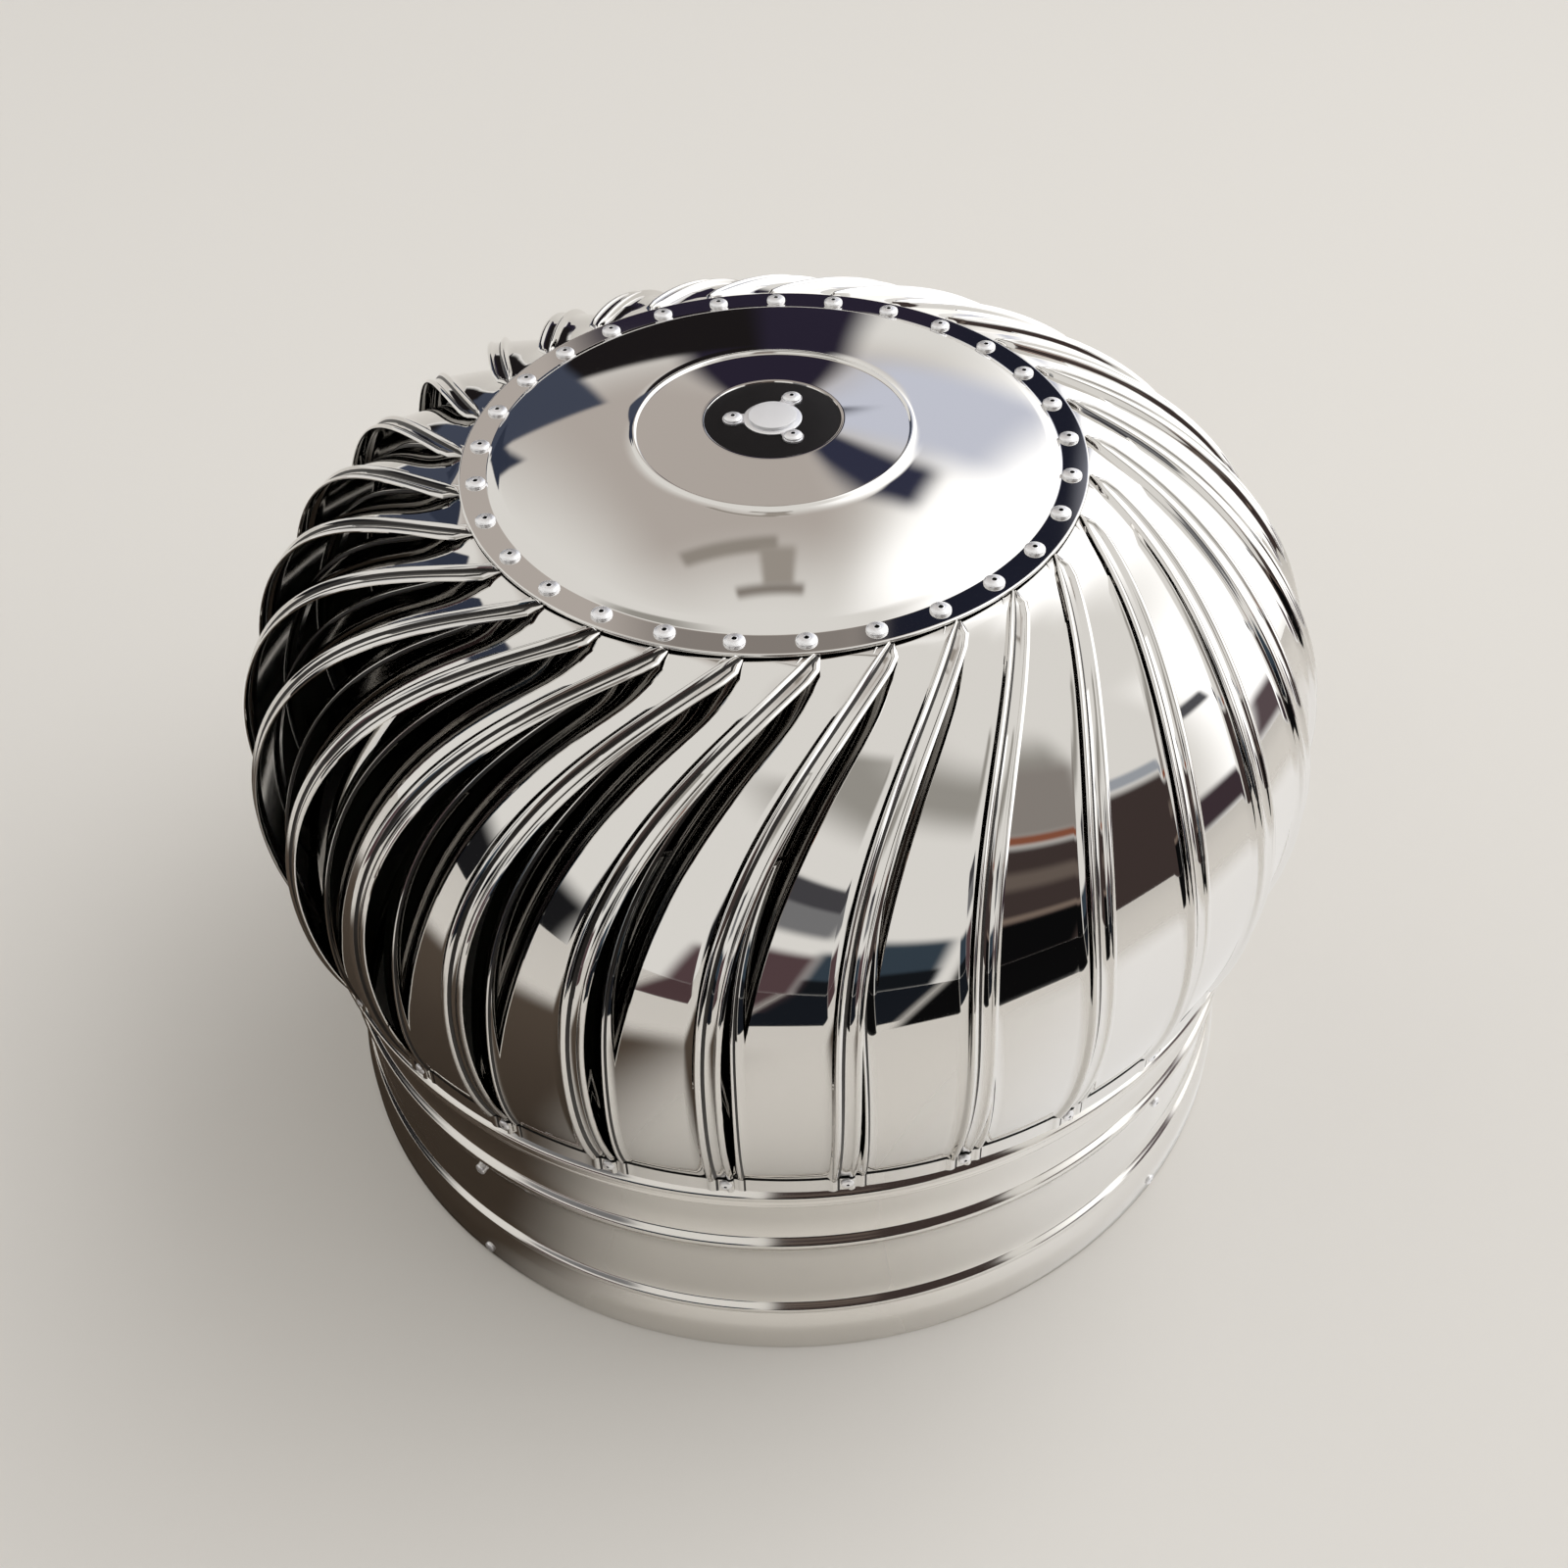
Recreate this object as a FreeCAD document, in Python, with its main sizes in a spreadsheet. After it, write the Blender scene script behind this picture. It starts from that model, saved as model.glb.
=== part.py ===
import FreeCAD, Part
import Sketcher
import math
import os

# Turbine ventilator for a 500 mm round throat, all sizes in millimetres and degrees.
# Frame: origin at the middle of the throat's bottom rim, +Z up along the shaft.
# The rotor (vanes, cap, lower ring, spider) spins on the fixed shaft; the neck carries the shaft.

doc = FreeCAD.newDocument("turbine_ventilator")
sheet = doc.addObject("Spreadsheet::Sheet", "Sizes")

DRIVING_SIZES = [
    # Neck, the fixed throat ring
    ("neck_radius", 246.6),
    ("skirt_swage", 5.4),
    ("skirt_height", 16.0),
    ("neck_sheet", 0.8),
    ("neck_height", 134.0),
    ("lower_bead_z", 31.5),
    ("upper_bead_z", 90.6),
    ("neck_bead_rise", 3.6),
    ("neck_bead_half", 4.5),
    # Lower ring of the rotor
    ("ring_overlap", 5.8),
    ("ring_sheet", 0.8),
    ("ring_bottom_z", 130.5),
    ("ring_bead_z", 140.0),
    ("ring_bead_rise", 3.4),
    ("ring_bead_half", 4.5),
    ("ring_hem_flare", 1.0),
    ("band_top_z", 160.0),
    ("band_flare", 1.0),
    # Top cap
    ("cap_radius", 147.0),
    ("cap_sheet", 0.8),
    ("cap_flange_z", 374.6),
    ("cap_flange_width", 13.4),
    ("cap_step", 1.4),
    ("cap_circle_radius", 64.7),
    ("cap_circle_step", 0.9),
    ("cap_recess_radius", 31.8),
    ("cap_recess_rise", 18.0),
    ("cap_recess_depth", 1.0),
    ("cap_hole_radius", 9.0),
    # Vanes
    ("vane_count", 29),
    ("vane_sheet", 0.6),
    ("vane_phase", -84.4),
    ("vane_foot_z", 146.0),
    ("vane_crease_z", 158.0),
    ("belly_bulge", 19.1),
    ("belly_z", 234.5),
    ("vane_lean", 24.2),
    ("lean_power", 2.8),
    ("vane_tuck", 18.0),
    ("tuck_power", 1.5),
    ("top_step", 9.0),
    ("top_step_length", 17.0),
    ("vane_crown", 2.2),
    ("lip_margin", 3.6),
    ("lip_growth", 8.5),
    ("lip_growth_power", 5.0),
    ("tuck_margin", 4.5),
    ("tuck_growth", 9.0),
    ("tuck_growth_power", 3.0),
    ("tab_length", 14.0),
    ("ridge_fade", 4.0),
    ("tab_ridge_share", 0.3),
    ("ridge_rise", 2.7),
    ("ridge_half", 3.3),
    ("ridge_to_edge", 8.6),
    ("inner_ridge_rise", 1.6),
    ("inner_ridge_half", 1.9),
    ("inner_ridge_to_edge", 11.5),
    ("panel_spaces", 14),
    ("corner_clip", 5.0),
    ("corner_clip_length", 8.0),
    ("lap_clearance", 0.35),
    # Blind rivets and other small heads
    ("rivet_radius", 4.75),
    ("ring_rivet_radius", 2.9),
    ("head_rise_share", 0.4),
    ("cap_rivet_inset", 8.1),
    ("ring_rivet_z", 151.5),
    ("neck_rivet_radius", 4.0),
    ("bracket_rivet_drop", 3.0),
    ("skirt_fixing_z", 8.0),
    # Shaft, nuts and washers
    ("shaft_radius", 6.0),
    ("shaft_bottom_z", 60.0),
    ("shaft_tip_radius", 4.0),
    ("nut_flats", 19.0),
    ("nut_height", 10.0),
    ("washer_radius", 12.0),
    ("washer_thickness", 2.5),
    ("slip", 0.05),
    # Bearings: 8 x 22 x 7 at the top, 12 x 32 x 10 at the bottom
    ("top_bearing_radius", 11.0),
    ("top_bearing_width", 7.0),
    ("top_bearing_split", 6.6),
    ("low_bearing_radius", 16.0),
    ("low_bearing_width", 10.0),
    ("low_bearing_split", 9.0),
    ("low_bearing_z", 141.0),
    ("circlip_thickness", 1.1),
    ("circlip_radius", 8.5),
    ("circlip_groove", 0.5),
    ("circlip_gap", 5.0),
    # Upper bearing housing and its pad
    ("pad_thickness", 1.0),
    ("housing_sheet", 1.2),
    ("housing_lift", 0.4),
    ("housing_relief", 1.2),
    ("housing_relief_radius", 8.5),
    ("housing_chamfer", 1.6),
    ("housing_flange_radius", 15.0),
    ("ear_radius", 6.5),
    ("ear_pitch", 20.5),
    ("hub_rivet_radius", 4.0),
    # Lower bearing housing and spider
    ("low_housing_flange", 27.0),
    ("low_housing_lip", 12.0),
    ("low_rivet_pitch", 22.2),
    ("low_rivet_radius", 3.0),
    ("spider_z", 144.0),
    ("spider_plate", 3.0),
    ("spider_hub_radius", 31.0),
    ("spider_arms", 3),
    ("spider_arm_width", 20.0),
    ("spider_tab_height", 14.0),
    # Bracket bars in the neck
    ("bar_z", 77.0),
    ("bar_plate", 3.0),
    ("bar_width", 25.0),
    ("bar_leg", 22.0),
    ("bar_azimuth", -130.0),
]

# Sizes that follow from the driving ones
DERIVED_SIZES = [
    ("neck_bore", "neck_radius - neck_sheet"),
    ("skirt_radius", "neck_radius + skirt_swage"),
    ("ring_radius", "neck_radius + ring_overlap"),
    ("belly_radius", "ring_radius + belly_bulge"),
    ("cap_top_z", "cap_flange_z + cap_recess_rise"),
    ("pad_z", "cap_top_z - cap_recess_depth"),
    ("housing_z", "pad_z + pad_thickness"),
    ("top_bearing_z", "housing_z + housing_lift"),
    ("top_bearing_end_z", "top_bearing_z + top_bearing_width"),
    ("housing_top_z", "top_bearing_end_z + housing_relief + housing_sheet"),
    ("pitch", "360 / vane_count"),
    ("washer_low_z", "bar_z - washer_thickness"),
    ("nut_low_z", "washer_low_z - nut_height"),
    ("bars_top_z", "bar_z + 2 * bar_plate"),
    ("nut_high_z", "bars_top_z + washer_thickness"),
    ("circlip_z", "low_bearing_z - circlip_thickness"),
    ("spider_top_z", "spider_z + spider_plate"),
    ("bar_reach", "sqrt(neck_bore ^ 2 - (bar_width / 2) ^ 2) - slip"),
    ("spider_reach",
     "sqrt((ring_radius - ring_sheet) ^ 2 - (spider_arm_width / 2) ^ 2) - slip"),
    ("cap_rivet_circle", "cap_radius - cap_rivet_inset"),
    # Round beads: outer and inner radius of the arc, and half the inner arc's width
    ("neck_bead_arc", "(neck_bead_half ^ 2 + neck_bead_rise ^ 2) / (2 * neck_bead_rise)"),
    ("neck_bead_arc_in", "neck_bead_arc - neck_sheet"),
    ("neck_bead_half_in", "sqrt(neck_bead_rise * (2 * neck_bead_arc_in - neck_bead_rise))"),
    ("ring_bead_arc", "(ring_bead_half ^ 2 + ring_bead_rise ^ 2) / (2 * ring_bead_rise)"),
    ("ring_bead_arc_in", "ring_bead_arc - ring_sheet"),
    ("ring_bead_half_in", "sqrt(ring_bead_rise * (2 * ring_bead_arc_in - ring_bead_rise))"),
    # The dome is a low spherical cap from the flange's step to the hub's recess
    ("dome_foot", "cap_radius - cap_flange_width - cap_step"),
    ("dome_arc", "(dome_foot ^ 2 - cap_recess_radius ^ 2) / (2 * (cap_recess_rise - cap_step))"),
    ("cap_circle_rise",
     "cap_recess_rise - (cap_circle_radius ^ 2 - cap_recess_radius ^ 2) / (2 * dome_arc)"),
]


SIZE_NAMES = {entry[0] for entry in DRIVING_SIZES + DERIVED_SIZES}


def fill_sheet():
    for row, (name, value) in enumerate(DRIVING_SIZES, start=1):
        sheet.set("A%d" % row, str(value))
        sheet.setAlias("A%d" % row, name)
    doc.recompute()
    for row, (name, formula) in enumerate(DERIVED_SIZES, start=1):
        sheet.set("B%d" % row, "=" + formula)
        sheet.setAlias("B%d" % row, name)
    doc.recompute()


def size(name):
    return float(getattr(sheet, name))


def bound(formula):
    """The formula with each size's name pointed at the sheet."""
    words = []
    word = ""
    for letter in formula + " ":
        if letter.isalnum() or letter == "_":
            word += letter
            continue
        words.append("Sizes." + word if word in SIZE_NAMES else word)
        words.append(letter)
        word = ""
    return "".join(words).strip()


def origin_plane(body, role):
    return [f for f in body.Origin.OriginFeatures if f.Role == role][0]


def new_body(name):
    body = doc.addObject("PartDesign::Body", name)
    body.Label = name
    return body


def new_sketch(body, name, plane, lift=None):
    sketch = body.newObject("Sketcher::SketchObject", name)
    sketch.AttachmentSupport = [(origin_plane(body, plane), "")]
    sketch.MapMode = "FlatFace"
    if lift:
        sketch.setExpression("AttachmentOffset.Base.z", bound(lift))
    return sketch


def value(formula):
    """A formula's value now, as a starting place for the sketch solver."""
    return float(sheet.evalExpression(formula))


def set_coordinate(sketch, kind, line, end, formula):
    """Ties one coordinate of a line's end to a formula; a plain 0 lies on the axis."""
    if formula == "0":
        axis = -2 if kind == "DistanceX" else -1
        sketch.addConstraint(Sketcher.Constraint("PointOnObject", line, end, axis))
        return
    index = sketch.addConstraint(Sketcher.Constraint(kind, -1, 1, line, end, value(formula)))
    sketch.setExpression("Constraints[%d]" % index, bound(formula))


def arc_between(start, end, radius):
    """An arc that bulges to the right of the way from start to end, or left if radius is negative."""
    chord = end - start
    half = chord.Length / 2
    rise = abs(radius) - math.sqrt(radius ** 2 - half ** 2)
    side = FreeCAD.Vector(chord.y, -chord.x, 0).normalize() * math.copysign(rise, radius)
    return Part.Arc(start, (start + end) * 0.5 + side, end)


def draw_outline(sketch, corners):
    """A closed outline; a corner is a pair of formulas, and the radius of the arc that leaves it."""
    count = len(corners)
    places = [FreeCAD.Vector(value(corner[0]), value(corner[1]), 0) for corner in corners]
    ends = []
    for number, corner in enumerate(corners):
        start, end = places[number], places[(number + 1) % count]
        if len(corner) == 2:
            sketch.addGeometry(Part.LineSegment(start, end))
            ends.append((1, 2))
            continue
        radius = value(corner[2])
        sketch.addGeometry(arc_between(start, end, radius))
        ends.append((1, 2) if radius > 0 else (2, 1))
        index = sketch.addConstraint(Sketcher.Constraint("Radius", number, abs(radius)))
        sketch.setExpression("Constraints[%d]" % index, "abs(%s)" % bound(corner[2]))
    for number in range(count):
        following = (number + 1) % count
        sketch.addConstraint(Sketcher.Constraint(
            "Coincident", number, ends[number][1], following, ends[following][0]))
    for number, corner in enumerate(corners):
        set_coordinate(sketch, "DistanceX", number, ends[number][0], corner[0])
        set_coordinate(sketch, "DistanceY", number, ends[number][0], corner[1])


def draw_circle(sketch, radius, across="0"):
    """A circle centred on the sketch's X axis."""
    place = FreeCAD.Vector(1.0, 0, 0)
    line = sketch.addGeometry(Part.Circle(place, FreeCAD.Vector(0, 0, 1), 5.0))
    index = sketch.addConstraint(Sketcher.Constraint("Radius", line, 5.0))
    sketch.setExpression("Constraints[%d]" % index, bound(radius))
    if across == "0":
        sketch.addConstraint(Sketcher.Constraint("Coincident", line, 3, -1, 1))
        return
    sketch.addConstraint(Sketcher.Constraint("PointOnObject", line, 3, -1))
    index = sketch.addConstraint(Sketcher.Constraint("DistanceX", -1, 1, line, 3, 1.0))
    sketch.setExpression("Constraints[%d]" % index, bound(across))


def revolved(name, corners):
    """A body turned about the shaft's axis from an outline of (radius, height) formulas."""
    body = new_body(name)
    sketch = new_sketch(body, name + "_outline", "XZ_Plane")
    draw_outline(sketch, corners)
    turn = body.newObject("PartDesign::Revolution", name + "_turn")
    turn.Profile = sketch
    turn.ReferenceAxis = (sketch, ["V_Axis"])
    turn.Angle = 360.0
    sketch.Visibility = False
    return body


def pad(body, sketch, length, midplane=False):
    feature = body.newObject("PartDesign::Pad", sketch.Name + "_pad")
    feature.Profile = sketch
    feature.setExpression("Length", bound(length))
    feature.Midplane = midplane
    return feature


def pocket_through(body, sketch):
    feature = body.newObject("PartDesign::Pocket", sketch.Name + "_pocket")
    feature.Profile = sketch
    feature.Type = "ThroughAll"
    feature.Midplane = True
    return feature


def polar(body, features, count):
    pattern = body.newObject("PartDesign::PolarPattern", body.Name + "_pattern")
    pattern.Originals = features
    pattern.Axis = (features[0].Profile[0], ["N_Axis"])
    pattern.Angle = 360.0
    pattern.setExpression("Occurrences", bound(count))
    body.Tip = pattern
    return pattern


def bead(kind, radius, middle):
    """A round bead on a wall: its outer corners going up, and its inner ones going down."""
    inside = "%s - %s_sheet" % (radius, kind)
    outer = [
        (radius, "%s - %s_bead_half" % (middle, kind), "%s_bead_arc" % kind),
        (radius, "%s + %s_bead_half" % (middle, kind)),
    ]
    inner = [
        (inside, "%s + %s_bead_half_in" % (middle, kind), "-%s_bead_arc_in" % kind),
        (inside, "%s - %s_bead_half_in" % (middle, kind)),
    ]
    return outer, inner


def neck():
    # Rolled stainless throat: plain skirt for the roof collar, two stiffening beads.
    low_out, low_in = bead("neck", "neck_radius", "lower_bead_z")
    high_out, high_in = bead("neck", "neck_radius", "upper_bead_z")
    skirt_bore = "skirt_radius - neck_sheet"
    outside = [("skirt_radius", "0"), ("skirt_radius", "skirt_height")]
    swage = [("neck_radius", "skirt_height + skirt_swage")]
    top = [("neck_radius", "neck_height"), ("neck_radius - neck_sheet", "neck_height")]
    inside = [("neck_radius - neck_sheet", "skirt_height + skirt_swage"),
              (skirt_bore, "skirt_height"), (skirt_bore, "0")]
    return revolved("neck", outside + swage + low_out + high_out + top + high_in + low_in + inside)


def lower_ring():
    # Band that the vanes' feet are riveted to, with a bead and a hem that laps over the neck.
    bead_out, bead_in = bead("ring", "ring_radius", "ring_bead_z")
    hem = "ring_radius + ring_hem_flare"
    band = "ring_radius + band_flare"
    return revolved("lower_ring", [(hem, "ring_bottom_z")] + bead_out + [
        (band, "band_top_z"),
        (band + " - ring_sheet", "band_top_z"),
    ] + bead_in + [(hem + " - ring_sheet", "ring_bottom_z")])


def top_cap():
    # Spun cap: flat rivet flange, low dome with one raised circle, recess for the hub.
    inner = "cap_radius - cap_flange_width"
    circle_z = "cap_flange_z + cap_circle_rise"
    top = [
        ("cap_radius", "cap_flange_z"),
        (inner, "cap_flange_z"),
        ("dome_foot", "cap_flange_z + cap_step", "dome_arc"),
        ("cap_circle_radius + cap_circle_step", circle_z + " - cap_circle_step"),
        ("cap_circle_radius", circle_z, "dome_arc"),
        ("cap_recess_radius", "cap_top_z"),
        ("cap_recess_radius - cap_recess_depth", "pad_z"),
        ("cap_hole_radius", "pad_z"),
    ]
    under = [
        ("cap_hole_radius", "pad_z - cap_sheet"),
        ("cap_recess_radius - cap_recess_depth", "pad_z - cap_sheet"),
        ("cap_recess_radius", "cap_top_z - cap_sheet", "-dome_arc"),
        ("cap_circle_radius", circle_z + " - cap_sheet"),
        ("cap_circle_radius + cap_circle_step", circle_z + " - cap_circle_step - cap_sheet", "-dome_arc"),
        ("dome_foot", "cap_flange_z + cap_step - cap_sheet"),
        (inner, "cap_flange_z - cap_sheet"),
        ("cap_radius", "cap_flange_z - cap_sheet"),
    ]
    return revolved("top_cap", top + under)


def ring_solid(name, inner, outer, bottom, top):
    return revolved(name, [(inner, bottom), (outer, bottom), (outer, top), (inner, top)])


def shaft():
    # Fixed steel axle: threaded foot, circlip groove, shoulder and tip for the top bearing.
    groove = "shaft_radius - circlip_groove"
    return revolved("shaft", [
        ("0", "shaft_bottom_z"),
        ("shaft_radius", "shaft_bottom_z"),
        ("shaft_radius", "circlip_z"),
        (groove, "circlip_z"),
        (groove, "low_bearing_z"),
        ("shaft_radius", "low_bearing_z"),
        ("shaft_radius", "top_bearing_z"),
        ("shaft_tip_radius", "top_bearing_z"),
        ("shaft_tip_radius", "top_bearing_end_z"),
        ("0", "top_bearing_end_z"),
    ])


def bearings():
    # Sealed ball bearings; each half takes in its share of the closed ball space.
    tip = "shaft_tip_radius"
    ring_solid("top_bearing_inner_ring", tip, "top_bearing_split",
               "top_bearing_z", "top_bearing_end_z")
    ring_solid("top_bearing_outer_ring", "top_bearing_split + slip", "top_bearing_radius",
               "top_bearing_z", "top_bearing_end_z")
    end = "low_bearing_z + low_bearing_width"
    ring_solid("lower_bearing_inner_ring", "shaft_radius", "low_bearing_split",
               "low_bearing_z", end)
    ring_solid("lower_bearing_outer_ring", "low_bearing_split + slip", "low_bearing_radius",
               "low_bearing_z", end)


def circlip():
    # Spring ring in the shaft's groove, under the lower bearing.
    body = ring_solid("shaft_circlip", "shaft_radius - circlip_groove", "circlip_radius",
                      "circlip_z", "low_bearing_z")
    cut = new_sketch(body, "circlip_gap", "XY_Plane")
    draw_outline(cut, [
        ("0", "0"),
        ("2 * circlip_radius", "circlip_gap * -1"),
        ("2 * circlip_radius", "circlip_gap"),
    ])
    pocket_through(body, cut)
    return body


def hub_pad():
    # Thin black gasket between the cap and the bearing housing.
    return ring_solid("hub_pad", "cap_hole_radius", "cap_recess_radius - 2 * cap_recess_depth",
                      "pad_z", "housing_z")


def top_bearing_housing():
    # Pressed cup over the top bearing, with a flange and three riveted ears.
    body = new_body("top_bearing_housing")
    flange = new_sketch(body, "housing_flange", "XY_Plane", "housing_z")
    draw_circle(flange, "housing_flange_radius")
    pad(body, flange, "housing_sheet")
    cup = new_sketch(body, "housing_cup", "XY_Plane", "housing_z")
    draw_circle(cup, "top_bearing_radius + housing_sheet")
    cup_pad = pad(body, cup, "housing_top_z - housing_z")
    doc.recompute()
    rim = body.newObject("PartDesign::Chamfer", "housing_chamfer")
    rim.Base = (cup_pad, [edge_at_top(cup_pad)])
    rim.setExpression("Size", bound("housing_chamfer"))
    ear = new_sketch(body, "housing_ear", "XY_Plane", "housing_z")
    draw_circle(ear, "ear_radius", "ear_pitch")
    ear_pad = pad(body, ear, "housing_sheet")
    web = new_sketch(body, "housing_ear_web", "XY_Plane", "housing_z")
    draw_outline(web, [
        ("top_bearing_radius", "ear_radius * -1"),
        ("ear_pitch", "ear_radius * -1"),
        ("ear_pitch", "ear_radius"),
        ("top_bearing_radius", "ear_radius"),
    ])
    web_pad = pad(body, web, "housing_sheet")
    polar(body, [ear_pad, web_pad], "3")
    hollow_upward(body, "housing_hollow", "top_bearing_radius", "top_bearing_end_z - housing_z")
    hollow_upward(body, "housing_relief_hollow", "housing_relief_radius",
                  "top_bearing_end_z + housing_relief - housing_z")
    body.Placement = turned(180.0)
    return body


def hollow_upward(body, name, radius, depth):
    """A round hollow cut up into the housing from its underside."""
    circle = new_sketch(body, name, "XY_Plane", "housing_z")
    draw_circle(circle, radius)
    pocket = body.newObject("PartDesign::Pocket", name + "_pocket")
    pocket.Profile = circle
    pocket.Reversed = True
    pocket.setExpression("Length", bound(depth))


def edge_at_top(feature):
    """The name of the highest edge of a feature."""
    heights = [edge.CenterOfMass.z for edge in feature.Shape.Edges]
    return "Edge%d" % (heights.index(max(heights)) + 1)


def turned(azimuth):
    return FreeCAD.Placement(FreeCAD.Vector(), FreeCAD.Rotation(FreeCAD.Vector(0, 0, 1), azimuth))


def lower_bearing_housing():
    # Flanged cup that hangs in the spider's middle and holds the lower bearing.
    wall = "low_bearing_radius + housing_sheet"
    return revolved("lower_bearing_housing", [
        ("low_housing_lip", "low_bearing_z - housing_sheet"),
        (wall, "low_bearing_z - housing_sheet"),
        (wall, "spider_top_z"),
        ("low_housing_flange", "spider_top_z"),
        ("low_housing_flange", "spider_top_z + housing_sheet"),
        ("low_bearing_radius", "spider_top_z + housing_sheet"),
        ("low_bearing_radius", "low_bearing_z"),
        ("low_housing_lip", "low_bearing_z"),
    ])


def lower_spider():
    # Pressed plate with three arms; the turned-up tabs are welded inside the band.
    body = new_body("lower_spider")
    hub = new_sketch(body, "spider_hub", "XY_Plane", "spider_z")
    draw_circle(hub, "spider_hub_radius")
    pad(body, hub, "spider_plate")
    side = new_sketch(body, "spider_arm_side", "XZ_Plane")
    inner_tab = "spider_reach - spider_plate"
    draw_outline(side, [
        ("low_bearing_radius + 2 * housing_sheet", "spider_z"),
        ("spider_reach", "spider_z"),
        ("spider_reach", "spider_z + spider_tab_height"),
        (inner_tab, "spider_z + spider_tab_height"),
        (inner_tab, "spider_top_z"),
        ("low_bearing_radius + 2 * housing_sheet", "spider_top_z"),
    ])
    arm = pad(body, side, "spider_arm_width", midplane=True)
    pattern = body.newObject("PartDesign::PolarPattern", "spider_pattern")
    pattern.Originals = [arm]
    pattern.Axis = (side, ["V_Axis"])
    pattern.Angle = 360.0
    pattern.setExpression("Occurrences", bound("spider_arms"))
    body.Tip = pattern
    hole = new_sketch(body, "spider_hole", "XY_Plane", "spider_z + spider_plate / 2")
    draw_circle(hole, "low_bearing_radius + housing_sheet + slip")
    pocket_through(body, hole)
    return body


def bracket_bar(name, lift, leg, azimuth):
    # Flat bar across the neck; both ends turn down and are riveted to the wall.
    body = new_body(name)
    side = new_sketch(body, name + "_side", "XZ_Plane")
    draw_outline(side, [
        ("0", lift),
        ("bar_reach - bar_plate", lift),
        ("bar_reach - bar_plate", "%s - %s" % (lift, leg)),
        ("bar_reach", "%s - %s" % (lift, leg)),
        ("bar_reach", "%s + bar_plate" % lift),
        ("0", "%s + bar_plate" % lift),
    ])
    half = pad(body, side, "bar_width", midplane=True)
    both = body.newObject("PartDesign::Mirrored", name + "_mirrored")
    both.Originals = [half]
    both.MirrorPlane = (origin_plane(body, "YZ_Plane"), [""])
    body.Tip = both
    hole = new_sketch(body, name + "_hole", "XY_Plane", lift)
    draw_circle(hole, "shaft_radius + slip")
    pocket_through(body, hole)
    body.setExpression("Placement.Rotation.Angle", bound(azimuth))
    return body


def nut(name, bottom):
    # Hexagon nut on the shaft's threaded foot.
    block = doc.addObject("Part::Prism", name + "_block")
    block.Polygon = 6
    block.setExpression("Circumradius", bound("nut_flats / sqrt(3)"))
    block.setExpression("Height", bound("nut_height"))
    bore = doc.addObject("Part::Cylinder", name + "_bore")
    bore.setExpression("Radius", bound("shaft_radius + slip"))
    bore.setExpression("Height", bound("nut_height"))
    cut = doc.addObject("Part::Cut", name)
    cut.Base = block
    cut.Tool = bore
    cut.Label = name
    cut.setExpression("Placement.Base.z", bound(bottom))
    return cut


def rivet_head(radius):
    """A blind rivet's domed head, a low cap of a sphere that stands on its flat side."""
    rise = radius * size("head_rise_share")
    ball = (radius ** 2 + rise ** 2) / (2 * rise)
    sunk = ball - rise
    start = math.degrees(math.asin(sunk / ball))
    return Part.makeSphere(ball, FreeCAD.Vector(0, 0, -sunk), FreeCAD.Vector(0, 0, 1), start, 90, 360)


def rivet_row(count, head, distance, height, azimuth, radial):
    """Rivet heads on a circle: heads point up, or outward where radial is true."""
    heads = []
    for number in range(count):
        copy = head.copy()
        if radial:
            copy.rotate(FreeCAD.Vector(), FreeCAD.Vector(0, 1, 0), 90.0)
        copy.translate(FreeCAD.Vector(distance, 0, height))
        copy.rotate(FreeCAD.Vector(), FreeCAD.Vector(0, 0, 1), azimuth + 360.0 * number / count)
        heads.append(copy)
    return heads


def solids_feature(name, solids):
    feature = doc.addObject("Part::Feature", name)
    feature.Label = name
    feature.Shape = Part.makeCompound(solids)
    feature.Placement = FreeCAD.Placement()
    return feature


def cap_rivets():
    # One blind rivet through each vane's tip, on the cap's flange.
    row = rivet_row(int(size("vane_count")), rivet_head(size("rivet_radius")),
                    size("cap_rivet_circle"), size("cap_flange_z"),
                    size("vane_phase") + size("vane_lean"), False)
    return solids_feature("cap_rivets", row)


def ring_rivets():
    # One blind rivet through each vane's foot, on the band; it seats on the outer vane's tab.
    reach = lip_surface_radius() + size("lap_clearance")
    row = rivet_row(int(size("vane_count")), rivet_head(size("ring_rivet_radius")),
                    reach, size("ring_rivet_z"), size("vane_phase"), True)
    return solids_feature("ring_rivets", row)


def neck_rivets():
    # Heads on the neck's outside: four hold the bracket bars, four fill the skirt's fixing holes.
    head = rivet_head(size("neck_rivet_radius"))
    wall = rivet_row(4, head, size("neck_radius"), size("bar_z") - size("bracket_rivet_drop"),
                     size("bar_azimuth"), True)
    skirt = rivet_row(4, head, size("skirt_radius"), size("skirt_fixing_z"),
                      size("bar_azimuth"), True)
    return solids_feature("neck_rivets", wall + skirt)


def hub_rivets():
    row = rivet_row(3, rivet_head(size("hub_rivet_radius")), size("ear_pitch"),
                    size("housing_z") + size("housing_sheet"), 180.0, False)
    return solids_feature("hub_rivets", row)


def lower_hub_rivets():
    row = rivet_row(3, rivet_head(size("low_rivet_radius")), size("low_rivet_pitch"),
                    size("spider_top_z") + size("housing_sheet"), 60.0, False)
    return solids_feature("lower_hub_rivets", row)


def lip_surface_radius():
    """Radius of the lip tab's outer face where it lies on the band."""
    band = size("ring_radius") + size("band_flare")
    return band + 2 * size("vane_sheet") + 2 * size("lap_clearance")


def upper_arc():
    """Radius and centre radius of the quarter circle from the belly to the cap."""
    top = size("cap_flange_z") - size("cap_sheet") - size("lap_clearance")
    radius = top - size("belly_z")
    return radius, size("belly_radius") - radius


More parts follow.
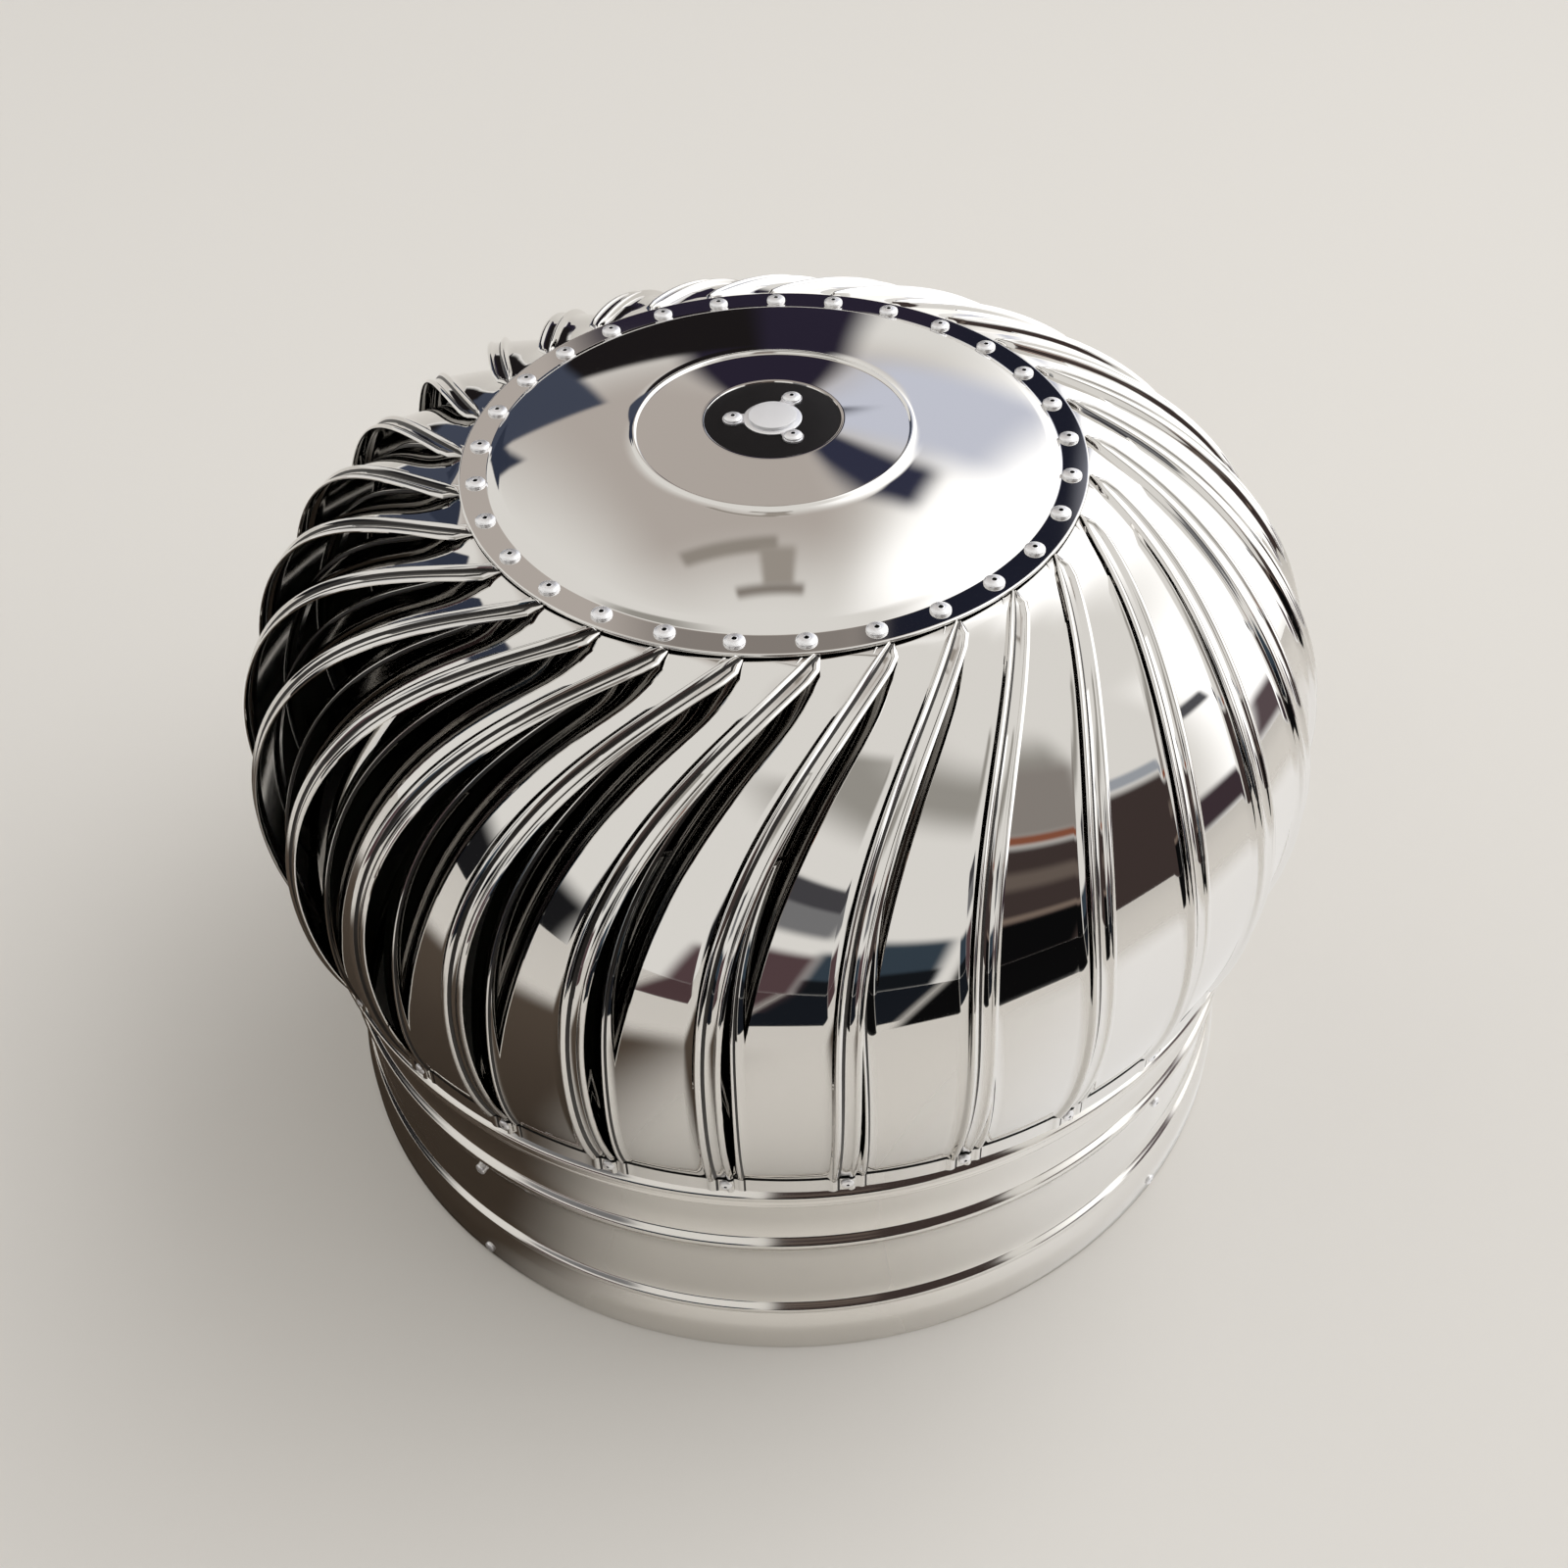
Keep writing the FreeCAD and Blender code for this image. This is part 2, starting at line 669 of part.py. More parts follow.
def lower_arc_radius():
    """Radius of the arc from the fold above the foot to the belly."""
    rise = size("belly_z") - size("vane_crease_z")
    bulge = size("belly_radius") - lip_surface_radius()
    return (rise ** 2 + bulge ** 2) / (2 * bulge)


def upper_angle_at(reach):
    """Angle on the upper arc, from the belly, where it comes in to a given radius."""
    radius, centre = upper_arc()
    return math.degrees(math.acos((reach - centre) / radius))


def place_on_lower_arc(way):
    """A place on the rivet line, its way from the crease given: radius, height, tilt, azimuth."""
    radius = lower_arc_radius()
    turn = (lower_way() - way) / radius
    reach = size("belly_radius") - radius * (1 - math.cos(turn))
    return reach, size("belly_z") - radius * math.sin(turn), -math.degrees(turn), 0.0


def place_on_upper_arc(angle):
    """A place on the upper arc, by its angle from the belly, where the vane leans over."""
    radius, centre = upper_arc()
    turn = math.radians(angle)
    share = min(angle / upper_angle_at(size("cap_radius")), 1.0)
    lean = size("vane_lean") * share ** size("lean_power")
    reach = centre + radius * math.cos(turn)
    return reach, size("belly_z") + radius * math.sin(turn), angle, lean


def lower_way():
    """Length of the rivet line from the crease to the belly."""
    radius = lower_arc_radius()
    return radius * math.asin((size("belly_z") - size("vane_crease_z")) / radius)


def way_to(reach):
    """Length of the rivet line from the crease to where it comes in to a radius at the top."""
    return lower_way() + upper_arc()[0] * math.radians(upper_angle_at(reach))


def place_at(way):
    """A place on the rivet line, its way from the crease given; below 0 it is on the tab."""
    if way < 0:
        return lip_surface_radius(), size("vane_crease_z") + way, 0.0, 0.0
    if way < lower_way():
        return place_on_lower_arc(way)
    return place_on_upper_arc(math.degrees((way - lower_way()) / upper_arc()[0]))


def ridge_points(crest, half, rise):
    return [(crest - half, 0.0), (crest, rise), (crest + half, 0.0)]


def vane_section(place, way, full_way):
    """Closed outline across the vane at one place: outer face, then back along the inner."""
    reach, height, tilt, lean = place
    turn = math.radians(tilt)
    share = min(max(way / full_way, 0.0), 1.0)
    to_rim = max(full_way - way, 0.0)
    onset = 1 - math.exp(-(to_rim / size("top_step_length")) ** 2)
    step = size("top_step") * onset * math.sin(math.pi * share / 2) ** 2
    tuck = size("vane_tuck") * math.sin(math.pi * share) ** size("tuck_power")
    clip = size("corner_clip") * (1 - min(to_rim / size("corner_clip_length"), 1.0))
    fade = min(to_rim / size("ridge_fade"), 1.0) if way > 0 else size("tab_ridge_share")
    reach_out = size("lip_margin") + size("lip_growth") * share ** size("lip_growth_power") - clip
    reach_in = size("tuck_margin") + size("tuck_growth") * share ** size("tuck_growth_power")
    lap = reach_out + reach_in
    under_lip = 1 - lap / (lap + math.radians(size("pitch")) * reach)
    drop = (size("vane_sheet") + size("lap_clearance")) / under_lip + step + tuck
    lip_azimuth = lean + math.degrees(reach_out / reach)
    tuck_reach = reach - drop * math.cos(turn)
    tuck_azimuth = lean - size("pitch") - math.degrees(reach_in / tuck_reach)
    tuck_edge = cylindrical(tuck_reach, tuck_azimuth, height - drop * math.sin(turn))
    lip_edge = cylindrical(reach, lip_azimuth, height)
    width = (lip_edge - tuck_edge).Length
    across = (lip_edge - tuck_edge).normalize()
    outward = cylindrical(math.cos(turn), (lip_azimuth + tuck_azimuth) / 2, math.sin(turn))
    outward = (outward - across * outward.dot(across)).normalize()
    crest = width - size("ridge_to_edge") + clip
    inner = ridge_points(size("inner_ridge_to_edge"), size("inner_ridge_half"),
                         size("inner_ridge_rise") * fade)
    outer = ridge_points(crest, size("ridge_half"), size("ridge_rise") * fade)
    crown = size("vane_crown") * math.cos(turn)
    face = []
    for spot, rise in [(0.0, 0.0)] + inner + [(width / 2, 0.0)] + outer + [(width, 0.0)]:
        part = spot / width
        face.append((spot, 4 * crown * part * (1 - part) + rise))
    back = [(spot, rise - size("vane_sheet")) for spot, rise in reversed(face)]
    return [tuck_edge + across * spot + outward * rise for spot, rise in face + back]


def cylindrical(radius, azimuth, height):
    turn = math.radians(azimuth)
    return FreeCAD.Vector(radius * math.cos(turn), radius * math.sin(turn), height)


def outline_ways():
    """Where the outlines stand along the rivet line: three on the tab, then evenly spaced."""
    rim = way_to(size("cap_radius") + size("ridge_half"))
    tip = way_to(size("cap_radius") - size("tab_length"))
    foot = size("vane_foot_z") - size("vane_crease_z")
    count = int(size("panel_spaces"))
    ways = [foot, foot / 2, 0.0]
    return ways + [rim * number / count for number in range(1, count + 1)] + [(rim + tip) / 2, tip]


def master_vane():
    """The first vane: a smooth loft through the outlines across it."""
    rim = way_to(size("cap_radius") + size("ridge_half"))
    sections = []
    for number, way in enumerate(outline_ways(), start=1):
        polygon = doc.addObject("Part::Polygon", "vane_outline_%d" % number)
        polygon.Nodes = vane_section(place_at(way), way, rim)
        polygon.Close = True
        sections.append(polygon)
    vane = doc.addObject("Part::Loft", "vane_01")
    vane.Sections = sections
    vane.Solid = True
    vane.Ruled = False
    vane.Label = "vane_01"
    vane.setExpression("Placement.Rotation.Angle", bound("vane_phase"))
    return vane


def vanes():
    # Pressed stainless vanes, each lapping its neighbour; the rest repeat the first.
    first = master_vane()
    row = [first]
    for number in range(2, int(size("vane_count")) + 1):
        copy = doc.addObject("Part::Compound", "vane_%02d" % number)
        copy.Links = [first]
        copy.Label = "vane_%02d" % number
        copy.setExpression("Placement.Rotation.Angle", bound("pitch * %d" % (number - 1)))
        row.append(copy)
    return row


def build():
    fill_sheet()
    pieces = [neck(), lower_ring(), top_cap(), shaft(), circlip(), hub_pad()]
    bearings()
    pieces += [doc.getObject(name) for name in (
        "top_bearing_inner_ring", "top_bearing_outer_ring",
        "lower_bearing_inner_ring", "lower_bearing_outer_ring")]
    pieces += [top_bearing_housing(), lower_bearing_housing(), lower_spider()]
    pieces.append(bracket_bar("bracket_bar_lower", "bar_z", "bar_leg", "bar_azimuth"))
    pieces.append(bracket_bar("bracket_bar_upper", "bar_z + bar_plate",
                              "(bar_leg + bar_plate)", "bar_azimuth + 90"))
    pieces += [nut("shaft_nut_lower", "nut_low_z"), nut("shaft_nut_upper", "nut_high_z")]
    washer = ("shaft_radius + slip", "washer_radius")
    pieces.append(ring_solid("shaft_washer_lower", *washer, "washer_low_z", "bar_z"))
    pieces.append(ring_solid("shaft_washer_upper", *washer, "bars_top_z", "nut_high_z"))
    pieces += [cap_rivets(), ring_rivets(), neck_rivets(), hub_rivets(), lower_hub_rivets()]
    pieces += vanes()
    doc.recompute()
    return pieces


def check(pieces):
    faults = [thing.Name for thing in doc.Objects
              if "Invalid" in thing.State or "Error" in thing.State]
    for piece in pieces:
        shape = piece.Shape
        if shape.isNull() or not shape.isValid() or not shape.Solids:
            faults.append(piece.Label)
    if faults:
        raise RuntimeError("These did not build: " + ", ".join(faults))


def write(pieces):
    os.makedirs("parts", exist_ok=True)
    for piece in pieces:
        piece.Shape.exportStep(os.path.join("parts", piece.Label + ".step"))


all_pieces = build()
check(all_pieces)
write(all_pieces)
print(len(all_pieces), "pieces written")
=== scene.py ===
import math

import bpy
from bpy.props import FloatProperty, FloatVectorProperty, IntProperty, PointerProperty
from mathutils import Matrix, Vector


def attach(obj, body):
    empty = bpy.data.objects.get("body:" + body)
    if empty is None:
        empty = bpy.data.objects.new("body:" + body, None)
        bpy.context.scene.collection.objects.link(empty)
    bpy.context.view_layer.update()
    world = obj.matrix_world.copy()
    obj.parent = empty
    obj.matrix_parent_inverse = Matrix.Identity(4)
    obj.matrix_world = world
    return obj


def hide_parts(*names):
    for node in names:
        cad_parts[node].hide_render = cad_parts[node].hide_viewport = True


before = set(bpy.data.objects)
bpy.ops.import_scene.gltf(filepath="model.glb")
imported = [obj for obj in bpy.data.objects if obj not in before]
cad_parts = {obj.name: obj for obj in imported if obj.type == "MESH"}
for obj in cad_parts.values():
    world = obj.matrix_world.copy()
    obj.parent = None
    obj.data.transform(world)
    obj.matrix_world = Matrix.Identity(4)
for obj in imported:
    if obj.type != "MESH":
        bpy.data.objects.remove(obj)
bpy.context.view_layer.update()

bl_info = {
    "name": "Turbine ventilator",
    "version": (1, 0, 0),
    "blender": (4, 5, 0),
    "location": "View3D > Sidebar > Ventilator",
    "description": "Dresses the packed frame of a wind-driven roof ventilator in polished sheet",
    "category": "Object",
}

POLE = 0.00001  # radius where a turned profile ends on the axis
HAIR = 0.0001  # a step too small to see, which keeps two faces or edges apart
MERGE = 0.00002  # points nearer than this become one
LAP_GAP = 0.00035  # air between two lapped vanes
POINT_EDGE = 0.0006  # flat strip left beside the bead at a vane's clipped point
BEAD_POWER = 1.3  # above 1, a bead's flanks run out softly into the sheet

# Rows of faces up a vane: on the foot's tab, up to the belly, up to the corner and under the cap
TAB_ROWS, LOWER_ROWS, UPPER_ROWS, CAP_ROWS = 3, 18, 34, 4
# Rows in the last length before the cap, as shares of that length still to go
CORNER_LENGTH = 0.008
CORNER_ROWS = (0.88, 0.76, 0.65, 0.54, 0.43, 0.33, 0.24, 0.16, 0.09, 0.03, 0.0)
# Strips of faces across a vane: on the inner bead, the panel, the outer bead and the hem
INNER_STRIPS, PANEL_STRIPS, OUTER_STRIPS, HEM_STRIPS = 8, 10, 10, 8
# The last two strips of the inner and of the outer bead, counted from the tucked edge, which get painted
# shade beside each bead's highlight
BEAD_SHADE_STRIPS = (8, 9, 28, 29)

# Heights on the axis that the faces of each part look away from
GLOBE_MIDDLE, RING_MIDDLE, NECK_MIDDLE, CUP_MIDDLE, SHAFT_MIDDLE = 0.23, 0.145, 0.07, 0.386, 0.2

FLOOR_RADIUS = 9.0
BACKDROP_SWEEP = 1.5
BACKDROP_TOP = 7.0


def length(name, description, metres):
    return FloatProperty(name=name, description=description, default=metres,
                         subtype="DISTANCE", unit="LENGTH")


def angle(name, description, degrees):
    return FloatProperty(name=name, description=description, default=math.radians(degrees),
                         subtype="ANGLE", unit="ROTATION")


def whole(name, description, value):
    return IntProperty(name=name, description=description, default=value, min=3)


def number(name, description, value):
    return FloatProperty(name=name, description=description, default=value, min=0)


def linear(colour):
    """A #RRGGBB colour as linear RGBA."""
    parts = [int(colour[place:place + 2], 16) / 255 for place in (1, 3, 5)]
    bent = [part / 12.92 if part <= 0.04045 else ((part + 0.055) / 1.055) ** 2.4
            for part in parts]
    return (*bent, 1.0)


def tone(name, description, colour):
    return FloatVectorProperty(name=name, description=description, default=linear(colour)[:3],
                               subtype="COLOR", size=3, min=0, max=1)


class VaneSizes(bpy.types.PropertyGroup):
    """Sizes of one pressed vane, as its maker would give them."""

    count: whole("Vanes", "Number of vanes round the rotor", 29)
    phase: angle("First vane", "Azimuth of the first vane's foot rivet", -84.4)
    foot_height: length("Foot", "Height of the vane's lower edge", 0.146)
    crease_height: length("Crease", "Height of the fold above the foot's tab", 0.158)
    foot_radius: length("Foot radius", "Radius of the foot's outer face", 0.2553)
    belly_radius: length("Belly radius", "Widest radius of the lip line", 0.2712)
    belly_height: length("Belly height", "Height of the widest place", 0.2345)
    top_height: length("Top", "Height of the vane's flat end under the cap", 0.37345)
    lean: angle("Lean", "How far the tip leans round from the foot", 24.2)
    lean_power: number("Lean growth", "How late the lean sets in", 2.8)
    tuck: length("Tuck", "How deep the rear edge lies behind the next lip", 0.018)
    tuck_power: number("Tuck growth", "How gently the tuck sets in", 1.5)
    top_step: length("Top step", "How far the sheet drops behind the lip at the cap", 0.009)
    step_length: length("Step length", "Length in which the top step sets in", 0.017)
    crown: length("Crown", "Bow of the panel across its width", 0.0022)
    sheet: length("Sheet", "Thickness of the sheet", 0.0006)
    lip_margin: length("Lip margin", "From the rivet line to the lip's edge", 0.0036)
    lip_growth: length("Lip growth", "How much further the lip reaches at the cap", 0.0095)
    growth_power: number("Growth power", "How late the lip's extra reach sets in", 5.0)
    tuck_margin: length("Tuck margin", "From the rivet line to the tucked edge", 0.0045)
    tuck_growth: length("Tuck reach", "How much further the tucked edge reaches at the cap", 0.009)
    tuck_growth_power: number("Reach power", "How late the tucked edge's extra reach sets in", 3.0)
    fold_step: length("Fold step", "How far the panel stands out above the foot's tab", 0.0008)
    fold_gap: length("Fold gap", "Height of the hollow under the panel's lower edge", 0.0033)
    fold_depth: length("Fold depth", "How far the hollow runs in behind the tab's face", 0.0018)
    bead_rise: length("Bead rise", "Height of the pressed beads", 0.0027)
    bead_half: length("Bead half width", "Half the width of a pressed bead", 0.0028)
    inner_half: length("Inner bead half width", "Half the width of the inner bead", 0.0019)
    inner_rise: length("Inner bead rise", "Height of the inner bead", 0.0016)
    bead_fade: length("Bead end", "Length in which the beads die out at the cap", 0.0012)
    tab_share: number("Bead on the tab", "Share of the beads' height left on the foot's tab", 0.3)
    lip_strip: length("Lip strip", "From the outer bead's crest to the lip's edge", 0.0098)
    tuck_strip: length("Tuck strip", "From the inner bead's crest to the tucked edge", 0.0115)
    hem_half: length("Hem half width", "Half the width of the rolled hem on the lip", 0.0016)
    hem_rise: length("Hem rise", "Height of the rolled hem above the lip's strip", 0.0008)
    clip_length: length("Clipped corner", "Length of the lip's corner cut by the cap", 0.0095)
    point_half: length("Point", "Half the bead's width left at the clipped point", 0.0010)
    tab: length("Top tab", "How far the vane reaches in under the cap", 0.014)


class RoundSizes(bpy.types.PropertyGroup):
    """Sizes of the turned and rolled sheet parts."""

    cap_radius: length("Cap radius", "Outer radius of the cap's flange", 0.147)
    flange_height: length("Flange height", "Height of the flange's top face", 0.3746)
    flange_width: length("Flange width", "Width of the flat rivet flange", 0.0134)
    dome_rise: length("Dome rise", "Height of the dome above the flange", 0.018)
    dome_circle: length("Raised circle", "Radius of the raised circle on the dome", 0.0647)
    cone_lift: length("Cone lift", "How much the disc inside the raised circle is coned", 0.0006)
    recess_radius: length("Recess", "Radius of the hub's recess", 0.0318)
    recess_depth: length("Recess depth", "Depth of the hub's recess", 0.001)
    hole_radius: length("Cap hole", "Radius of the hole over the shaft", 0.009)
    sheet: length("Sheet", "Thickness of the cap, ring and neck", 0.0008)
    ring_radius: length("Ring radius", "Outer radius of the lower ring", 0.2524)
    neck_radius: length("Neck radius", "Outer radius of the neck", 0.2466)
    skirt_radius: length("Skirt radius", "Outer radius of the skirt", 0.252)
    segments: whole("Segments", "Faces round each turned part", 240)


class HubSizes(bpy.types.PropertyGroup):
    """Sizes of the hub that carries the rotor's upper bearing."""

    flange_radius: length("Flange radius", "Radius of the hub's flange", 0.0135)
    boss_radius: length("Boss radius", "Radius of the low boss over the bearing", 0.0112)
    boss_rise: length("Boss rise", "Height of the boss above the gasket", 0.0026)
    plate: length("Plate", "Thickness of the hub's sheet", 0.0008)
    ear_pitch: length("Ear reach", "From the shaft to an ear's rivet", 0.0183)
    ear_radius: length("Ear radius", "Radius of an ear's round end", 0.0049)
    bearing_width: length("Bearing width", "Width of the ball bearing", 0.007)
    bearing_radius: length("Bearing radius", "Outer radius of the ball bearing", 0.011)
    race_radius: length("Race", "Radius where the bearing's two rings part", 0.0066)
    shaft_radius: length("Shaft radius", "Radius of the shaft", 0.006)
    tip_radius: length("Tip radius", "Radius of the shaft's tip in the bearing", 0.004)
    shaft_foot: length("Shaft foot", "Height of the shaft's lower end", 0.060)
    groove_height: length("Groove", "Height of the circlip's groove", 0.1399)
    groove_width: length("Groove width", "Width of the circlip's groove", 0.0011)


class RivetSizes(bpy.types.PropertyGroup):
    """Sizes and places of the blind rivets."""

    cap_head: length("Cap head", "Radius of the cap's rivet heads", 0.00475)
    cap_rise: length("Cap head rise", "Height of the cap's rivet heads", 0.0021)
    cap_circle: length("Cap circle", "Radius of the circle of rivets on the cap", 0.1389)
    small_head: length("Small head", "Radius of the ring's and neck's rivet heads", 0.0030)
    small_rise: length("Small head rise", "Height of the ring's and neck's rivet heads", 0.0017)
    ring_height: length("Ring rivets", "Height of the rivets at the vanes' feet", 0.1515)
    neck_height: length("Neck rivets", "Height of the rivets on the neck", 0.074)
    skirt_height: length("Skirt rivets", "Height of the rivets on the skirt", 0.008)
    neck_first: angle("First neck rivet", "Azimuth of the neck's first rivet", -130)
    neck_count: whole("Neck count", "Rivets round the neck and round the skirt", 4)
    hub_head: length("Hub head", "Radius of the hub's rivet heads", 0.0044)
    hub_rise: length("Hub head rise", "Height of the hub's rivet heads", 0.0019)


class FinishColours(bpy.types.PropertyGroup):
    """Colours of the finishes."""

    polished: tone("Polished sheet", "Buffed stainless sheet of vanes and cap", "#E6E4E1")
    rolled: tone("Rolled sheet", "Bright rolled sheet of neck and ring", "#E2DFDA")
    rivets: tone("Rivets", "Aluminium of the blind rivets' heads", "#F6F6F8")
    hub: tone("Hub", "Zinc skin of the hub's boss", "#F2F2F4")
    floor: tone("Floor", "Paint of the studio's floor and backdrop", "#E5E2DD")


def chosen(name):
    """One of the user's finish colours as RGBA."""
    return (*getattr(bpy.context.scene.vent_colours, name), 1.0)


def add_node(tree, kind, settings=None, inputs=None):
    """Adds a node, sets its properties and fills or links its inputs."""
    node = tree.nodes.new(kind)
    for name, value in (settings or {}).items():
        setattr(node, name, value)
    for name, value in (inputs or {}).items():
        if isinstance(value, bpy.types.NodeSocket):
            tree.links.new(value, node.inputs[name])
        else:
            node.inputs[name].default_value = value
    return node


def math_step(tree, operation, *values):
    """The result of one maths node."""
    return add_node(tree, "ShaderNodeMath", {"operation": operation}, dict(enumerate(values))).outputs[0]


def noise(tree, place, scale, detail):
    """A noise from 0 to 1 in the object's own coordinates."""
    return add_node(tree, "ShaderNodeTexNoise",
                    inputs={"Vector": place, "Scale": scale, "Detail": detail}).outputs["Fac"]


def ramp(tree, value, low, high):
    """Maps a 0 to 1 value onto a range."""
    return add_node(tree, "ShaderNodeMapRange",
                    inputs={"Value": value, "To Min": low, "To Max": high}).outputs["Result"]


def blend(tree, share, first, second):
    """A colour between two others."""
    return add_node(tree, "ShaderNodeMix", {"data_type": "RGBA"},
                    {"Factor": share, "A": first, "B": second}).outputs["Result"]


def new_material(name, colour=None, metallic=0.0, roughness=0.5):
    """A material with its tree, its Principled shader and Object coordinates."""
    finish = bpy.data.materials.new(name)
    finish.use_nodes = True
    tree = finish.node_tree
    shader = tree.nodes["Principled BSDF"]
    if colour:
        shader.inputs["Base Color"].default_value = colour
    shader.inputs["Metallic"].default_value = metallic
    shader.inputs["Roughness"].default_value = roughness
    place = add_node(tree, "ShaderNodeTexCoord").outputs["Object"]
    return finish, tree, shader, place


def hazed(name, colour, metallic, scale, detail, low, high):
    """A bright metal whose roughness wanders between two values."""
    finish, tree, shader, place = new_material(name, colour, metallic)
    tree.links.new(ramp(tree, noise(tree, place, scale, detail), low, high), shader.inputs["Roughness"])
    return finish, tree, shader, place


def polished_stainless():
    # Stainless sheet buffed to a mirror: reflects the room sharply, with a faint haze from handling.
    finish, tree, shader, place = hazed("polished_stainless", chosen("polished"), 1.0,
                                        22.0, 4.0, 0.012, 0.05)
    bump = add_node(tree, "ShaderNodeBump", inputs={"Height": noise(tree, place, 14.0, 1.0),
                                                    "Strength": 0.05, "Distance": 0.0008})
    tree.links.new(bump.outputs["Normal"], shader.inputs["Normal"])
    return finish


def mill_back_painted_shade():
    # The sheet's inner face keeps its dull mill finish; its colour is darkened as painted shade of the
    # closed inside.
    return hazed("mill_back_painted_shade", linear("#7C7A77"), 1.0, 160.0, 3.0, 0.04, 0.12)[0]


def rolled_stainless():
    # Neck and ring: bright annealed sheet as it leaves the rolls, a little duller than the buffed one.
    return hazed("rolled_stainless", chosen("rolled"), 1.0, 30.0, 5.0, 0.06, 0.14)[0]


def bright_aluminium():
    # Blind-rivet heads and the hub's plate: soft aluminium, tumbled bright.
    return hazed("bright_aluminium", chosen("rivets"), 0.75, 900.0, 2.0, 0.24, 0.36)[0]


def bright_pressing():
    # Hub's boss and cup: pressings with a pale passivated zinc skin, slightly clouded by handling.
    return hazed("bright_pressing", chosen("hub"), 0.5, 320.0, 3.0, 0.36, 0.52)[0]


def plated_steel():
    # Zinc-plated flat steel: satin grey with the faint spangle of the bath.
    finish, tree, shader, place = new_material("plated_steel", metallic=1.0, roughness=0.38)
    spangle = add_node(tree, "ShaderNodeTexVoronoi", inputs={"Vector": place, "Scale": 180.0})
    share = ramp(tree, spangle.outputs["Distance"], 0.0, 0.6)
    tree.links.new(blend(tree, share, linear("#A9A9A8"), linear("#C4C4C2")), shader.inputs["Base Color"])
    return finish


def ground_steel():
    # Shaft, nuts and bearing rings: turned or ground steel with fine tool lines round the axis.
    finish, tree, shader, place = new_material("ground_steel", linear("#B8B7B4"), 1.0)
    lines = add_node(tree, "ShaderNodeTexWave", {"bands_direction": "Z"},
                     {"Vector": place, "Scale": 400.0, "Distortion": 1.5})
    tree.links.new(ramp(tree, lines.outputs["Fac"], 0.22, 0.36), shader.inputs["Roughness"])
    return finish


def clouded(name, scale, detail, dark, light, roughness):
    """A dull finish whose colour wanders between two tones."""
    finish, tree, shader, place = new_material(name, roughness=roughness)
    cloud = noise(tree, place, scale, detail)
    tree.links.new(blend(tree, cloud, linear(dark), linear(light)), shader.inputs["Base Color"])
    return finish, shader


def matte_black_disc():
    # Disc under the hub: matte black with a faint mottle, which keeps the hub's recess black.
    finish, shader = clouded("matte_black_disc", 60.0, 6.0, "#0C0A0B", "#1C191A", 0.55)
    shader.inputs["Specular IOR Level"].default_value = 0.12
    return finish


def painted_bead_shade():
    # Painted dark reflection and shade: nearly black, a little glossy strips along the foot of each
    # bead, for the dark line beside each bead's highlight.
    return clouded("painted_bead_shade", 90.0, 3.0, "#0E0C0B", "#2B2622", 0.4)[0]


def painted_hollow_shade():
    # Painted shade: near-black for hollows that shade fills, the hollow left by a rivet's mandrel, too
    # deep for light to come back, and the hollow under each vane's fold.
    return new_material("painted_hollow_shade", linear("#0A0A0A"), roughness=0.8)[0]


def studio_paint():
    # Pale matte paint of the studio's floor and backdrop.
    return new_material("studio_paint", chosen("floor"), roughness=0.9)[0]


FINISHES = {}


def material(make):
    """A finish, made the first time that its function is asked for."""
    if make not in FINISHES:
        FINISHES[make] = make()
    return FINISHES[make]


def select(pieces):
    """Selects these pieces alone and makes the first one active."""
    bpy.ops.object.select_all(action="DESELECT")
    for piece in pieces:
        piece.select_set(True)
    if pieces:
        bpy.context.view_layer.objects.active = pieces[0]


def edit(piece):
    """Opens one piece in Edit Mode with all of it selected."""
    select([piece])
    bpy.ops.object.mode_set(mode="EDIT")
    bpy.ops.mesh.select_all(action="SELECT")


def leave_edit():
    bpy.ops.object.mode_set(mode="OBJECT")


def rename(piece, name):
    piece.name = name
    piece.data.name = name


def join(pieces, name):
    """Joins pieces into the first one."""
    select(pieces)
    bpy.ops.object.join()
    rename(pieces[0], name)
    return pieces[0]


def settle(piece, name, *finishes):
    """Names a finished piece, puts its place in its mesh and gives it its finishes."""
    select([piece])
    bpy.ops.object.transform_apply(location=True, rotation=True, scale=True)
    rename(piece, name)
    piece.data.materials.clear()
    for finish in finishes:
        piece.data.materials.append(material(finish))
    return piece


def add_sheet(piece, thickness, back_finish):
    """Gives a surface the thickness of its sheet, inwards from the outer face."""
    select([piece])
    modifier = piece.modifiers.new("sheet", "SOLIDIFY")
    modifier.thickness = thickness
    modifier.offset = -1.0
    modifier.material_offset = back_finish
    bpy.ops.object.modifier_apply(modifier=modifier.name)


def face_outwards(piece, height):
    """Turns the faces so that most of them look away from a point on the axis."""
    inside = Vector((0, 0, height))
    total = sum(face.normal.dot(face.center - inside) * face.area for face in piece.data.polygons)
    if total < 0:
        edit(piece)
        bpy.ops.mesh.flip_normals()
        leave_edit()


def smooth(piece, degrees):
    select([piece])
    bpy.ops.object.shade_smooth_by_angle(angle=math.radians(degrees))


def arc(centre, radius, start, end, steps):
    """Points of an arc in a (radius, height) profile, angles in degrees."""
    turns = [math.radians(start + (end - start) * step / steps) for step in range(steps + 1)]
    return [(centre[0] + radius * math.cos(turn), centre[1] + radius * math.sin(turn))
            for turn in turns]


